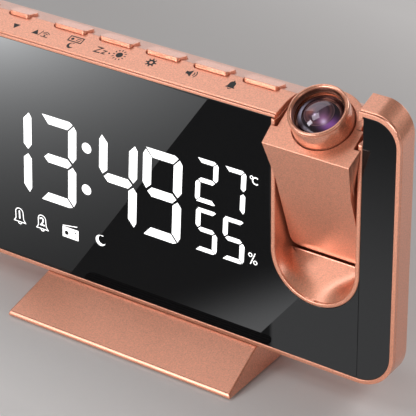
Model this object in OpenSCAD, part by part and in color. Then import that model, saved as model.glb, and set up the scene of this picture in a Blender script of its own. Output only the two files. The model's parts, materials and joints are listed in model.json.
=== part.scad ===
// Projection alarm clock: mirror display in a thin copper frame, seven keys on the top,
// a swing-out projector in a U-shaped well at the right, and a wedge foot.
// Modelled with X to the right, Z up and Y from the display towards the back,
// then moved so that the origin lies under the middle of the whole clock.

/* [Body] */
// Width over both ends
body_w = 180; // [178:1:188]
// Height of the long part, from its underside to the front edge of its top
band_h = 82.6; // [81:0.2:86]
// Height of the raised right end, at its front edge
end_h = 91.7; // [90:0.2:98]
// Gap between the body's underside and the table
lift = 9; // [8:0.5:12]
// Radius of the bottom corners
corner_r = 12.5; // [8:0.5:16]
// Radius of the raised end's top corner
end_r = 9; // [5:0.5:11]
// Depth of the thin ends, outside the rear housing
wing_d = 8; // [7:0.5:9]
// Depth of the housing, up to the rear cover
housing_d = 22; // [21.5:0.5:24]
// Depth of the rear cover
cover_d = 8; // [7:0.5:11]
// Distance from the left end to the rear housing
inset_left = 9.5; // [8:0.5:14]
// Distance from the right end to the rear housing
inset_right = 9.5; // [9:0.5:10.5]
// Wall of the housing and the rear cover
wall = 1.8; // [1.4:0.1:2.2]
// Depth of the label band, from the front to the ridge
ridge_y = 10.5; // [9.5:0.25:12]
// Rise of the label band to the ridge
ridge_rise = 3; // [2:0.25:4]
// Fall of the top from the ridge to the rear cover
strip_fall = 3.9; // [2:0.1:5]
// Rise of the raised end's top over its depth
end_rise = 2.6; // [1:0.1:3.5]

/* [Display] */
// Visible width of the frame round the display
rim_w = 1.4; // [1:0.1:2]
// Thickness of the frame's flange
rim_t = 0.7; // [0.5:0.1:1]
// Groove between the frame and the housing
groove_w = 0.25; // [0.15:0.05:0.4]
// Thickness of the display lens
lens_t = 2; // [1.5:0.1:2.2]
// Distance of the lens behind the frame's face
lens_back = 0.2; // [0.1:0.05:0.4]
// Height of the large digits
digit_h = 31.4; // [28:0.2:32]
// Pitch of two digits side by side
digit_pitch = 17.6; // [16.5:0.1:18]
// Depth of the light boxes behind the lens
module_d = 2.8; // [2:0.1:3]

/* [Well and projector] */
// Distance from the right end to the middle of the well
well_side = 28; // [27.5:0.5:29]
// Inner radius of the well
well_r = 14; // [13.8:0.1:14.4]
// Wall of the well and width of its lip
well_wall = 1.5; // [1:0.1:1.6]
// Height of the well's round centre above the body's underside
well_z = 37.5; // [36:0.5:38]
// Lean of the well's back wall
well_lean = 5.5; // [4:0.5:6.5]
// Running gap between the arm and the well
arm_gap = 1; // [0.8:0.1:1.3]
// Height of the arm's pivot above the body's underside
pivot_z = 41; // [40.5:0.5:43]
// Depth of the pivot behind the display
pivot_y = 14.6; // [14:0.1:15.5]
// Radius of the arm's round lower end
arm_end_r = 8; // [7:0.25:8.5]
// Length of the arm's front face
arm_len = 40; // [37:0.5:43]
// Lean of the arm's front face
face_lean = 19; // [16:0.5:21]
// Lean of the arm's top face and of the lens
head_lean = 30; // [26:0.5:34]
// Radius of the head behind the focus ring
head_r = 12; // [11:0.1:12.2]
// Distance from the front edge of the head to the lens axis
head_reach = 11.9; // [11:0.1:12.5]
// How far a shoulder stands out beside the well
shoulder = 1.2; // [0.5:0.1:2]
// Thickness of the arm's cover plate
plate_t = 1.6; // [1.2:0.1:2]
// Diameter of the hinge pin
pin_d = 3; // [2.4:0.1:3.4]
// Radius of the focus ring at its foot
ring_r = 9.4; // [9:0.1:9.8]
// Radius of the focus ring at its rim
ring_top_r = 8.9; // [8.7:0.1:9.2]
// Height of the focus ring above the head
ring_h = 7; // [6:0.25:8]
// Travel of the lens over the ring's turn
focus_travel = 1.2; // [0.8:0.1:1.4]

/* [Keys] */
// Length of a key
key_l = 12.4; // [11:0.2:14]
// Length of the two short keys at the left
short_key_l = 8.2; // [7:0.2:11]
// Depth of a key, front to back
key_w = 5.6; // [4.6:0.1:6]
// Height of a key above the ridge
key_proud = 1.3; // [0.9:0.1:1.8]
// Pitch of the keys
key_pitch = 17.8; // [17:0.1:18]
// Place of the rightmost key
key_last_x = 36.8; // [35:0.2:37]
// Gap round a key
key_gap = 0.25; // [0.15:0.05:0.4]
// Travel of a key
key_travel = 0.8; // [0.5:0.1:1]

/* [Foot] */
// Width of the foot at the table
foot_w = 88; // [76:1:110]
// How much narrower the foot is at its top, each side
foot_taper = 2.8; // [0:0.2:6]
// Reach of the foot in front of the display
foot_reach = 18.5; // [14:0.5:24]
// How far the foot's back edge stays inside the body's back
foot_back = 4; // [2:0.5:8]
// Height of the foot's front lip
foot_lip = 1.5; // [1:0.1:2.5]
// Wall of the foot
foot_wall = 2; // [1.6:0.1:2.4]
// Thickness of the pads
pad_t = 1.2; // [1:0.1:1.6]
// How far the pads stand below the foot
pad_proud = 0.5; // [0.3:0.1:0.8]

/* [Inside] */
// Thickness of the circuit boards
board_t = 1.6; // [1.2:0.1:1.8]
// Depth of the main board behind the display
main_y = 13; // [12:0.25:14]
// Radius of the speaker
speaker_r = 18; // [15:0.5:19]
// Radius of the coin cell
cell_r = 10; // [8:0.5:11]
// Thickness of the coin cell
cell_t = 3.2; // [2:0.1:3.4]
// Outer radius of the DC plug that the jack takes
plug_r = 2.75; // [1.75:0.05:3]
// Diameter of the case screws' shanks
screw_d = 2.4; // [2:0.1:2.6]

/* [Hidden] */

$fn = 64;
eps = 0.01;          // overlap of cutters with the faces that they cut
seat = 0.05;         // clearance of pieces that are set into one another
run = 0.06;          // radial clearance of pieces that turn in one another
big = 400;           // longer than anything here

half_w = body_w / 2;
well_x = half_w - well_side;
top_z = lift + band_h;                    // front edge of the label band
end_z = lift + end_h;                     // front edge of the raised end
ridge_z = top_z + ridge_rise;
strip_z = ridge_z - strip_fall;           // top where it meets the rear cover
body_d = housing_d + cover_d;
house_x0 = -half_w + inset_left;          // the rear housing's ends
house_x1 = half_w - inset_right;
mouth_y = rim_t + groove_w;               // front edge of the housing
ledge_y = lens_back + lens_t;             // where the lens rests
ledge_t = 1.2;
mouth_wall = 1.15;                        // the housing's wall beside the lens
ledge_in = 3.2;
mid_y = (body_d - foot_reach) / 2;        // middle of the whole clock

well_cz = lift + well_z;
well_out = well_r + well_wall;
end_x0 = well_x + well_r;                 // left face of the raised end
seam_x = well_x + well_out;               // joint between lens and side strip

pivot_h = lift + pivot_z;
arm_half = well_r - arm_gap;
face_n = [cos(face_lean), sin(face_lean)];          // into the arm, square to its front face
face_up = [-sin(face_lean), cos(face_lean)];        // up the front face
head_s = [cos(head_lean), sin(head_lean)];          // back along the top face
head_a = [-sin(head_lean), cos(head_lean)];         // the lens axis
pivot = [pivot_y, pivot_h];
face_foot = pivot - arm_end_r * face_n;             // lower end of the flat front face
face_top = face_foot + arm_len * face_up;           // front edge of the top face
lens_c = face_top + head_reach * head_s;            // lens axis on the top face
arm_rear_y = pivot_y + arm_end_r;                   // rear of the arm at its pivot
well_mid_y = arm_rear_y - arm_half - 0.4;           // where the well's rear rounding starts
shoulder_y = -0.3;                                  // the shoulders stop just before the lens

collar_r = ring_r - 1.1;                  // tube on the head that the ring turns on
ring_bore_top = ring_top_r - 1.3;
carrier_r = collar_r - 0.9;
recess_h = 2;                             // the ring sits this deep in the head

key_y = ridge_y + 1.5;                    // middle of the keys
key_top = ridge_z + key_proud;
key_r = 1.2;
flange_y = key_y + key_w / 2 + 0.6;       // the flange stops the key under the skin
key_foot = ridge_z - strip_fall * (flange_y - ridge_y) / (housing_d - ridge_y) - wall - 0.1;
key_board_z = key_foot - 5;
keys = 7;
switch_h = 1.8;
plunger_h = 0.7;
short_pitch = 15.9;

digit_y0 = 27;                            // lower edge of the large digits above the underside
digit_w = 14.8;
digit_x0 = -half_w + 30.2;
colon_gap = 6.7;
digit_x = [for (k = [0:3]) digit_x0 + k * digit_pitch + (k > 1 ? colon_gap : 0)];  // left edges
small_h = 15.5;
row_gap = 1.9;
small_x = [well_x - 43, well_x - 33];
small_w = 8.2;

main_x0 = -half_w + 68;
main_x1 = well_x - 28;
main_z0 = lift + 9;
main_z1 = lift + 71;
led_x0 = -half_w + 23;
led_x1 = well_x - 18;
led_z0 = lift + 9;
led_z1 = lift + 72;
led_back = ledge_y + module_d + board_t;  // rear face of the light board
jack_x = well_x - 40;
usb_x = well_x - 60;
port_z = lift + 15;
speaker_x = -half_w + 44;
speaker_z = lift + 41;
cell_x = well_x - 54;
cell_z = lift + 49;
cover_in = body_d - wall;                 // inner face of the rear wall
post_r = 3.4;
post_y = housing_d - 10;
posts = [[house_x0 + 8.5, lift + 9], [house_x1 - 8.5, lift + 9],
         [house_x0 + 8.5, strip_z - 14], [well_x - 21, strip_z - 14]];
board_pts = [[main_x0 + 4, main_z0 + 4], [main_x1 - 4, main_z0 + 4],
             [main_x0 + 4, main_z1 - 4], [main_x1 - 4, main_z1 - 4]];

// ---- helpers ------------------------------------------------------------

// The whole clock is moved so that the origin lies under its middle.
module place() translate([0, -mid_y, 0]) children();

// A front-view shape (X, Z) from depth y0 to depth y1.
module front(y0, y1) translate([0, y1, 0]) rotate([90, 0, 0]) linear_extrude(y1 - y0) children();

// A side-view shape (Y, Z) from x0 to x1.
module side(x0, x1) translate([x0, 0, 0]) rotate([90, 0, 90]) linear_extrude(x1 - x0) children();

// A round rod along Y.
module rod_y(r, x, z, y0, y1, fn = 64) translate([x, y1, z]) rotate([90, 0, 0])
  cylinder(r = r, h = y1 - y0, $fn = fn);

// A round rod along X.
module rod_x(r, y, z, x0, x1) translate([x0, y, z]) rotate([0, 90, 0]) cylinder(r = r, h = x1 - x0);

// Rectangle with its own radius at each corner: bottom left, bottom right, top right, top left.
module round_rect(x0, z0, x1, z1, r) {
  polygon([[x0 + r[0], z0], [x1 - r[1], z0], [x1, z0 + r[1]], [x1, z1 - r[2]], [x1 - r[2], z1],
           [x0 + r[3], z1], [x0, z1 - r[3]], [x0, z0 + r[0]]]);
  if (r[0] > 0) translate([x0 + r[0], z0 + r[0]]) circle(r[0]);
  if (r[1] > 0) translate([x1 - r[1], z0 + r[1]]) circle(r[1]);
  if (r[2] > 0) translate([x1 - r[2], z1 - r[2]]) circle(r[2]);
  if (r[3] > 0) translate([x0 + r[3], z1 - r[3]]) circle(r[3]);
}

// Outline of the front, set in by i on every side. The band's right top corner lies inside the end.
module band_outline(i, z1) round_rect(-half_w + i, lift + i, half_w - i, z1 - i,
  [corner_r - i, corner_r - i, 10 - i, 6 - i]);
module end_outline(i, z1) round_rect(end_x0 + i, top_z - 20, half_w - i, z1 - i, [0, 0, end_r - i, 0]);
module face_outline(i) {
  band_outline(i, top_z);
  end_outline(i, end_z);
}

// U shape of the well in front view, open at the top.
module u_shape(r, z1) translate([well_x, 0]) {
  translate([0, well_cz]) circle(r, $fn = 96);
  translate([-r, well_cz]) square([2 * r, z1 - well_cz]);
}

// D shape of the well and of the arm seen from above, leaning back towards the table.
module d_prism(r, y0) translate([well_x, well_mid_y, pivot_h]) rotate([well_lean, 0, 0])
  translate([0, 0, -60]) linear_extrude(140) {
    circle(r, $fn = 96);
    translate([-r, y0]) square([2 * r, -y0]);
  }

// Places children with Z along the lens axis and their origin on the head's top face.
module at_lens() translate([well_x, lens_c[0], lens_c[1]]) rotate([head_lean, 0, 0]) children();

// ---- body shells --------------------------------------------------------

// Side view of the main top: band, ridge and rear strip, set in by i.
module top_profile(i) polygon([[-1, lift - 5], [housing_d + 1, lift - 5],
  [housing_d + 1, strip_z - i - strip_fall / (housing_d - ridge_y)],
  [ridge_y, ridge_z - i], [-1, top_z - i - ridge_rise / ridge_y]]);

// The raised end, set in by i; its outline leans back so that its top climbs to the rear.
module end_form(i, y0, y1) intersection() {
  front(y0, y1) translate([end_x0 - 1, top_z - 30]) square(big);
  translate([0, 0, end_z]) rotate([atan(end_rise / wing_d), 0, 0]) front(-10, wing_d + 10)
    translate([0, -end_z]) end_outline(i, end_z);
}

// Solid outer form of the housing, set in by i.
module housing_form(i, y0, y1, wing) {
  intersection() {
    union() {
      front(y0, wing) band_outline(i, ridge_z + 1);
      front(y0, y1) translate([house_x0 + i, lift + i])
        square([house_x1 - house_x0 - 2 * i, band_h + ridge_rise]);
    }
    side(-half_w - 1, half_w + 1) top_profile(i);
  }
  end_form(i, y0, wing);
}

module key_plan(k, g) translate([key_x(k), key_y]) round_rect(-key_len(k) / 2 - g, -key_w / 2 - g,
  key_len(k) / 2 + g, key_w / 2 + g, [for (q = [0 : 3]) key_r + g]);

module key_holes() for (k = [0 : keys - 1]) translate([0, 0, ridge_z - 8]) linear_extrude(20)
  key_plan(k, key_gap);

function key_x(k) = k > 1 ? key_last_x - (keys - 1 - k) * key_pitch
  : key_last_x - (keys - 3) * key_pitch - key_pitch - 2.4 - (1 - k) * short_pitch;
function key_len(k) = k > 1 ? key_l : short_key_l;

module housing() color([0.80, 0.52, 0.42]) place() difference() {
  union() {
    difference() {
      housing_form(0, mouth_y, housing_d, wing_d);
      // pocket for the lens, window behind it, and the inside
      front(mouth_y - 1, ledge_y) face_outline(mouth_wall);
      front(ledge_y - eps, ledge_y + ledge_t + eps) {
        band_outline(ledge_in, top_z);
        end_outline(ledge_in, end_z);
      }
      housing_form(wall, ledge_y + ledge_t, housing_d + 1, wing_d - wall);
    }
    // posts for the case screws and for the key board, and tabs behind the light board
    for (p = posts) rod_y(post_r, p[0], p[1], post_y, housing_d);
    intersection() {
      housing_form(wall / 2, 0, housing_d, wing_d);
      union() {
        for (p = posts) translate([p[0] - 0.8, key_y + 4.6, p[1] > 50 ? p[1] : lift])
          cube([1.6, housing_d - key_y - 4.6, p[1] > 50 ? big : p[1] - lift]);
        for (k = [2 : keys - 2]) translate([key_x(k) + key_pitch / 2, key_y, key_board_z])
          cylinder(r = 1.6, h = big);
        for (x = [led_x0 + 8, led_x1 - 8]) {
          translate([x - 3, led_back + seat, led_z1 - 4]) cube([6, 1.2, big]);
          translate([x - 3, led_back + seat, lift]) cube([6, 1.2, led_z0 + 4 - lift]);
        }
      }
    }
  }
  for (p = posts) rod_y(screw_d / 2 + seat, p[0], p[1], post_y + 1, housing_d + 1);
  key_holes();
  // notch for the projector, and room for its well
  intersection() {
    front(-1, housing_d - 0.6) translate([end_x0 - 2 * well_r, well_cz]) square([2 * well_r, big]);
    d_prism(well_r, -60);
  }
  well_form(seat);
  // holes in the underside for the foot screws
  for (x = foot_screw_x) translate([x, foot_screw_y, lift - 1]) cylinder(r = screw_d / 2 + seat, h = wall + 2);
}

module front_frame() color([0.86, 0.60, 0.50]) place() difference() {
  union() {
    front(0, rim_t) face_outline(0);
    front(rim_t - eps, mouth_y) face_outline(0.3);
  }
  front(-1, mouth_y + 1) {
    band_outline(rim_w, top_z);
    end_outline(rim_w, end_z);
  }
  front(-1, mouth_y + 1) translate([end_x0 - 2 * well_r, well_cz]) square([2 * well_r, big]);
}

// Rear cover: a chamfered box, set in by i.
module cover_form(i) intersection() {
  side(house_x0 + i, house_x1 - i) polygon([[housing_d - (i > 0 ? 1 : 0), lift + i],
    [body_d - 4, lift + i], [body_d - i, lift + 4], [body_d - i, strip_z - 9.5],
    [housing_d, strip_z - i], [housing_d - (i > 0 ? 1 : 0), strip_z - i]]);
  linear_extrude(big) polygon([[house_x0 + i, housing_d - 1], [house_x1 - i, housing_d - 1],
    [house_x1 - i, housing_d], [house_x1 - i - cover_taper, body_d - i],
    [house_x0 + i + cover_taper, body_d - i], [house_x0 + i, housing_d]]);
}
cover_taper = 5;

module slot(x, z, l, w) hull() for (s = [-1, 1]) translate([x + s * (l - w) / 2, z]) circle(w / 2, $fn = 24);

module rear_cover() color([0.62, 0.38, 0.30]) place() difference() {
  union() {
    difference() {
      cover_form(0);
      cover_form(wall);
    }
    // posts for the case screws and for the main board
    intersection() {
      union() {
        for (p = posts) rod_y(post_r, p[0], p[1], housing_d, cover_in + eps);
        for (p = board_pts) rod_y(2.4, p[0], p[1], main_y + board_t, cover_in + eps);
        difference() {
          rod_y(speaker_r + 2, speaker_x, speaker_z, cover_in - 3, cover_in + eps);
          rod_y(speaker_r + seat, speaker_x, speaker_z, cover_in - 4, cover_in + 1);
        }
      }
      union() {
        cover_form(0);
        front(0, housing_d) square([big, big], center = true);
      }
    }
  }
  for (p = posts) {
    rod_y(screw_d / 2 + 2 * seat, p[0], p[1], housing_d - 1, body_d + 1);
    rod_y(screw_head_r + seat, p[0], p[1], body_d - 3.5, body_d + 1);
  }
  // battery hole with ways in for the cap's lugs, jack hole, socket hole
  rod_y(cap_r + run, cell_x, cell_z, cover_in - 1, body_d + 1);
  intersection() {
    rod_y(lug_r + 0.15, cell_x, cell_z, cover_in - 1, body_d + 1);
    lugs(60, 14);
  }
  rod_y(plug_r + 1.6, jack_x, port_z, cover_in - 1, body_d + 1);
  front(cover_in - 1, body_d + 1) translate([usb_x - 7, port_z - 3.2]) square([14, 6.4]);
  // vents above the ports and grille in front of the speaker
  for (k = [0 : 2]) front(cover_in - 1, body_d + 1)
    translate([usb_x - 8, port_z + 10 + 3 * k]) square([30, 1.2]);
  for (ring = [0 : 3], k = [0 : max(6 * ring, 1) - 1])
    rod_y(1.1, speaker_x + 3.6 * ring * cos(360 * k / max(6 * ring, 1)),
      speaker_z + 3.6 * ring * sin(360 * k / max(6 * ring, 1)), cover_in - 1, body_d + 1, 16);
}
screw_head_r = 2.3;
cap_r = cell_r + 1.6;
lug_r = cap_r + 1.2;
module lugs(turn, half) front(cover_in - 2, body_d + 2) translate([cell_x, cell_z])
  for (q = [0, 120, 240]) rotate(q + turn) polygon([[0, 0], [20, -20 * tan(half)], [20, 20 * tan(half)]]);

module rear_screws() color([0.25, 0.25, 0.27]) place() for (p = posts) difference() {
  union() {
    rod_y(screw_d / 2, p[0], p[1], housing_d - 8, body_d - 3.4);
    rod_y(screw_head_r, p[0], p[1], body_d - 3.5, body_d - 1.9);
  }
  front(body_d - 2.7, body_d) translate(p) for (q = [0, 90]) rotate(q)
    square([2.6, 0.7], center = true);
}

// ---- display ------------------------------------------------------------

module display_lens() color([0.05, 0.05, 0.06]) place() difference() {
  front(lens_back, ledge_y) intersection() {
    band_outline(rim_w + seat, top_z);
    translate([-big / 2, -big / 2]) square([big / 2 + seam_x - seat, big]);
  }
  front(-1, ledge_y + 1) u_shape(well_out + seat, big);
}

module side_strip() color([0.10, 0.10, 0.11]) place() front(lens_back, ledge_y) intersection() {
  union() {
    band_outline(rim_w + seat, top_z);
    end_outline(rim_w + seat, end_z);
  }
  translate([seam_x + seat, -big / 2]) square([big, big]);
}

// Seven light boxes of one digit: cut-outs in the white block behind the lens.
module digit_boxes(x, z, w, h, t) {
  for (k = [0, 1, 2]) translate([x + t, z + k * (h - t) / 2]) square([w - 2 * t, t]);
  for (s = [0, 1], k = [0, 1]) translate([x + s * (w - t), z + t + k * (h - t) / 2 + 0.2])
    square([t, (h - 3 * t) / 2 - 0.4]);
}

module digit_module() color([0.92, 0.92, 0.90]) place() difference() {
  union() {
    front(ledge_y + seat, ledge_y + module_d) translate([led_x0 + 2, led_z0 + 2])
      square([led_x1 - led_x0 - 6, led_z1 - led_z0 - 6]);
    // pegs through the light board, their ends melted over
    for (p = pegs) {
      rod_y(1.1, p[0], p[1], ledge_y + module_d - 1, led_back + 0.6, 32);
      rod_y(1.7, p[0], p[1], led_back, led_back + 0.6, 32);
    }
  }
  front(ledge_y - 1, ledge_y + module_d - 0.8) {
    for (x = digit_x) digit_boxes(x, lift + digit_y0, digit_w, digit_h, 3.4);
    for (x = small_x, k = [0, 1]) digit_boxes(x, lift + digit_y0 + k * (small_h + row_gap), small_w, small_h, 2);
    for (k = [0.27, 0.73]) translate([digit_x[1] + digit_pitch + colon_gap / 2 - 1.4, lift + digit_y0 + k * digit_h])
      square([3.4, 3.4], center = true);
  }
}

module led_board() color([0.10, 0.28, 0.16]) place()
  front(ledge_y + module_d, led_back) difference() {
    translate([led_x0, led_z0]) square([led_x1 - led_x0, led_z1 - led_z0]);
    for (p = pegs) translate(p) circle(1.1 + seat, $fn = 32);
  }
pegs = [[led_x0 + 5, lift + 14], [led_x1 - 8, lift + 14], [led_x0 + 5, led_z1 - 9],
        [led_x1 - 8, led_z1 - 9]];

module board_spacers() color([0.75, 0.75, 0.72]) place() for (p = board_pts)
  rod_y(2.5, p[0], p[1], led_back, main_y, 6);

module main_board() color([0.08, 0.25, 0.14]) place() front(main_y, main_y + board_t)
  translate([main_x0, main_z0]) square([main_x1 - main_x0, main_z1 - main_z0]);

module main_chips() color([0.12, 0.12, 0.13]) place() {
  front(main_y + board_t, main_y + board_t + 1.2) {
    translate([-14, lift + 24]) square([12, 12]);
    translate([-15, lift + 50]) square([7, 5]);
  }
  front(main_y + board_t, main_y + board_t + 4) translate([18, lift + 64]) square([8, 3.5]);
  for (z = [28, 37]) rod_y(3, 28, lift + z, main_y + board_t, main_y + board_t + 8);
}

module climate_sensor() color([0.9, 0.9, 0.88]) place() difference() {
  front(main_y + board_t, main_y + board_t + 2) translate([2, lift + 38]) square([3, 3]);
  rod_y(0.6, 3.5, lift + 39.5, main_y + board_t + 1, main_y + board_t + 3, 16);
}

// ---- well and hinge -----------------------------------------------------

// Plan of the well, grown by g: round behind the head, and wider low down, where the arm swings.
// Both are a little wider than the U shape that trims them, so no two side faces coincide.
swing_r = 7;
swing_half = well_r + 2;
module well_plan(g) {
  d_prism(well_r + g + 0.05, -60);
  translate([well_x, well_mid_y, pivot_h]) rotate([well_lean, 0, 0]) translate([0, 0, -59])
    linear_extrude(77 + g) round_rect(-swing_half - g, -20, swing_half + g, well_r + 0.6 + g,
      [0, 0, swing_r + g, swing_r + g]);
}

// Solid outer form of the well, grown by g.
module well_form(g) intersection() {
  front(-g, body_d) u_shape(well_out + g, big);
  well_plan(well_wall + g);
  side(-half_w, half_w) polygon([[-1, 0], [cover_in - 0.3, 0], [cover_in - 0.3, strip_z - 12],
    [housing_d - 0.2, strip_z - wall - 0.3 + g], [ridge_y, ridge_z - wall - seat + g],
    [ledge_y, top_z - rim_w - seat + g], [-1, top_z - rim_w - seat + g]]);
}

// Side view of the hollow of the well: a ramp runs from the lip up to the arm's round end.
scoop_y = pivot_y - 5.1;
scoop_z = pivot_h - 7.5;
scoop_lip = 0.6;
end_gap = 0.8;
module swing_side() {
  polygon([[-2, lift], [scoop_lip, well_cz - well_r], [scoop_y, scoop_z], [scoop_y, big], [-2, big]]);
  translate([pivot_y, pivot_h]) circle(arm_end_r + end_gap);
  translate([scoop_y - 1, pivot_h]) square([big, big]);
}
hinge_x = arm_half - 3.4;                 // half the length of the arm's hinge bore
boss_r = pin_d / 2 + 2.2;

module projector_well() color([0.80, 0.50, 0.40]) place() {
  difference() {
    union() {
      well_form(0);
      rod_x(boss_r - 0.4, pivot_y, pivot_h, well_x - well_out - 1.4, well_x);
      rod_x(boss_r - 0.4, pivot_y, pivot_h, well_x, well_x + well_out + 0.8);
    }
    intersection() {
      front(-1, big) u_shape(well_r, big);
      well_plan(0);
      side(-half_w, half_w) swing_side();
    }
    rod_x(pin_d / 2, pivot_y, pivot_h, well_x - 30, well_x + 30);
  }
  // bosses that the arm turns between
  for (q = [0, 180]) translate([well_x, 0, 0]) mirror([q / 180, 0, 0]) difference() {
    rod_x(boss_r, pivot_y, pivot_h, hinge_x + 0.7, well_r + well_wall / 2);
    rod_x(pin_d / 2, pivot_y, pivot_h, 0, 30);
  }
}

module hinge_pin() color([0.75, 0.75, 0.77]) place()
  rod_x(pin_d / 2, pivot_y, pivot_h, well_x - well_out - 1.4, well_x + well_out + 0.8);

// ---- projector arm ------------------------------------------------------

// Side view of the arm: front face, top plane and round lower end.
module arm_profile() {
  polygon([face_top, face_top + 30 * head_s, face_top + [30, -5], [arm_rear_y, pivot_h], pivot, face_foot]);
  translate(pivot) circle(arm_end_r, $fn = 96);
}

// Side view of what stays behind the step at the back of the top strip.
module step_profile() polygon([[-60, -20], [-60, 150], step_edge - [6, -27], step_edge + [2, -9],
  [60, step_edge[1] - 9], [60, -20]]);
step_edge = face_top + 8 * head_s;

// The whole outside of the arm.
module arm_form() intersection() {
  side(well_x - 20, well_x + 20) arm_profile();
  union() {
    intersection() {
      d_prism(arm_half, -60);
      union() {
        intersection() {
          // the lower corners are rounded in front view
          front(-30, 60) round_rect(well_x - arm_half - eps, pivot_h - arm_end_r - eps,
            well_x + arm_half + eps, 200, [arm_corner, arm_corner, 0, 0]);
          side(well_x - 20, well_x + 20) step_profile();
        }
        at_lens() translate([0, 0, -14]) cylinder(r = head_r, h = 20, $fn = 96);
      }
    }
    // shoulders that rest before the lip
    front(-30, shoulder_y) polygon([[well_x - arm_half + 1, shoulder_z0], [well_x + arm_half - 1, shoulder_z0],
      [well_x + well_r + shoulder, shoulder_z1], [well_x + well_r + shoulder, 200],
      [well_x - well_r - shoulder, 200], [well_x - well_r - shoulder, shoulder_z1]]);
  }
}
arm_corner = 6.5;
shoulder_z0 = on_face(shoulder_y)[1] - 4;
shoulder_z1 = on_top(shoulder_y)[1];
function on_top(y) = face_top + head_s * ((y - face_top[0]) / head_s[0]);
function on_face(y) = face_top + face_up * ((y - face_top[0]) / face_up[0]);

// Slab along the front face, t thick, from its upper edge down to near the lower end.
module face_slab(t, low, grow) side(well_x - 30, well_x + 30) polygon([
  face_top + (2 + grow) * face_up - 5 * face_n, face_top + (2 + grow) * face_up + t * face_n,
  face_foot + (low - grow) * face_up + t * face_n, face_foot + (low - grow) * face_up - 5 * face_n]);

module arm_body() color([0.84, 0.58, 0.47]) place() difference() {
  union() {
    difference() {
      arm_form();
      // recess that the focus ring turns in
      at_lens() translate([0, 0, -recess_h]) cylinder(r = ring_r + 0.3, h = 14, $fn = 96);
    }
    at_lens() translate([0, 0, -recess_h - 2]) cylinder(r = collar_r, h = recess_h + ring_h - 2, $fn = 96);
  }
  // seat of the cover plate
  face_slab(plate_t, 2, seat);
  at_lens() {
    // bore of the lens carrier, then the light path
    translate([0, 0, -8]) cylinder(r = carrier_r + run, h = 20, $fn = 96);
    translate([0, 0, -21]) cylinder(r = 4.6, h = 22);
  }
  // hinge bore, and pockets for the well's bosses
  rod_x(pin_d / 2 + run, pivot_y, pivot_h, well_x - 30, well_x + 30);
  rod_x(boss_r + 0.4, pivot_y, pivot_h, well_x - 30, well_x - hinge_x);
  rod_x(boss_r + 0.4, pivot_y, pivot_h, well_x + hinge_x, well_x + 30);
}

module arm_plate() color([0.84, 0.58, 0.47]) place() intersection() {
  arm_form();
  face_slab(plate_t - seat, 2, 0);
}

// Friction washers between the arm and the well's bosses.
module arm_washers() color([0.9, 0.9, 0.88]) place() difference() {
  union() {
    rod_x(boss_r, pivot_y, pivot_h, well_x - hinge_x - 0.65, well_x - hinge_x);
    rod_x(boss_r, pivot_y, pivot_h, well_x + hinge_x, well_x + hinge_x + 0.65);
  }
  rod_x(pin_d / 2 + run, pivot_y, pivot_h, well_x - 30, well_x + 30);
}

module projector_led() color([0.85, 0.85, 0.6]) place() at_lens() {
  translate([0, 0, -21]) cylinder(r = 4.5, h = 1.2);
  translate([0, 0, -19.8]) cylinder(r = 2.5, h = 1.6);
}

module projector_slide() color([0.5, 0.2, 0.2]) place() at_lens()
  translate([0, 0, -12.2]) cylinder(r = 4.55, h = 1.2);

module condenser_lens() color([0.8, 0.85, 0.9, 0.5]) place() at_lens() translate([0, 0, -17.6])
  rotate_extrude() intersection() {
    translate([0, -5.2]) circle(8.4, $fn = 96);
    square([4.5, 3.6]);
  }

module lens_carrier() color([0.12, 0.12, 0.13]) place() at_lens() difference() {
  translate([0, 0, -5]) cylinder(r = carrier_r, h = 7.6, $fn = 96);
  translate([0, 0, -6]) cylinder(r = carrier_r - 1.6, h = 12);
  translate([0, 0, 0.8]) cylinder(r = carrier_r - 0.7, h = 12, $fn = 96);
}

// Domed front lens, seated in the carrier.
module objective_lens() color([0.55, 0.45, 0.65, 0.6]) place() at_lens() translate([0, 0, 0.8])
  rotate_extrude($fn = 96) intersection() {
    translate([0, 1.4 + dome_h - dome_r]) circle(dome_r, $fn = 96);
    square([lens_r, 10]);
  }
lens_r = carrier_r - 0.75;
dome_h = 3.1;
dome_r = (lens_r * lens_r + dome_h * dome_h) / (2 * dome_h);

rim_r = (ring_top_r - ring_bore_top) / 2;

// Smooth ring with a rounded rim, turning on the head's collar.
module focus_ring() color([0.86, 0.60, 0.48]) place() at_lens() rotate_extrude($fn = 96) difference() {
  union() {
    polygon([[collar_r + run, -recess_h + 0.15], [ring_r, -recess_h + 0.15], [ring_r, 0.4],
      [ring_top_r, ring_h - rim_r], [ring_bore_top, ring_h - rim_r], [ring_bore_top, ring_h - 3.6],
      [collar_r + run, ring_h - 3.6]]);
    translate([ring_top_r - rim_r, ring_h - rim_r]) circle(rim_r, $fn = 32);
  }
  // fine grooves inside the mouth
  for (k = [0, 1]) translate([ring_bore_top, ring_h - 1.6 - k]) circle(0.2, $fn = 16);
}

// ---- keys ---------------------------------------------------------------

module key_cap(k) color([0.84, 0.56, 0.45]) place() {
  difference() {
    translate([0, 0, key_foot]) linear_extrude(key_top - key_foot) key_plan(k, 0);
    // bevelled front and back edges
    for (q = [-1, 1]) translate([key_x(k), key_y + q * key_w / 2, key_top]) rotate([45, 0, 0])
      cube([key_l + 1, 0.5, 0.5], center = true);
  }
  // flange that keeps the key in, and the stem over its switch
  translate([0, 0, key_foot - 0.8]) linear_extrude(0.8) key_plan(k, 0.6);
  translate([key_x(k) - 1.5, key_y - 1.5, stem_z]) cube([3, 3, key_foot - 0.8 - stem_z]);
}
stem_z = key_board_z + switch_h + plunger_h + key_travel + 0.05;

module key_down() key_cap(0);
module key_up() key_cap(1);
module key_radio() key_cap(2);
module key_dimmer() key_cap(3);
module key_set() key_cap(4);
module key_volume() key_cap(5);
module key_alarm() key_cap(6);

module key_board() color([0.08, 0.25, 0.14]) place()
  translate([key_x(0) - 6, key_y - 3.6, key_board_z - board_t])
    cube([key_x(6) - key_x(0) + 12, 8, board_t]);

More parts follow.
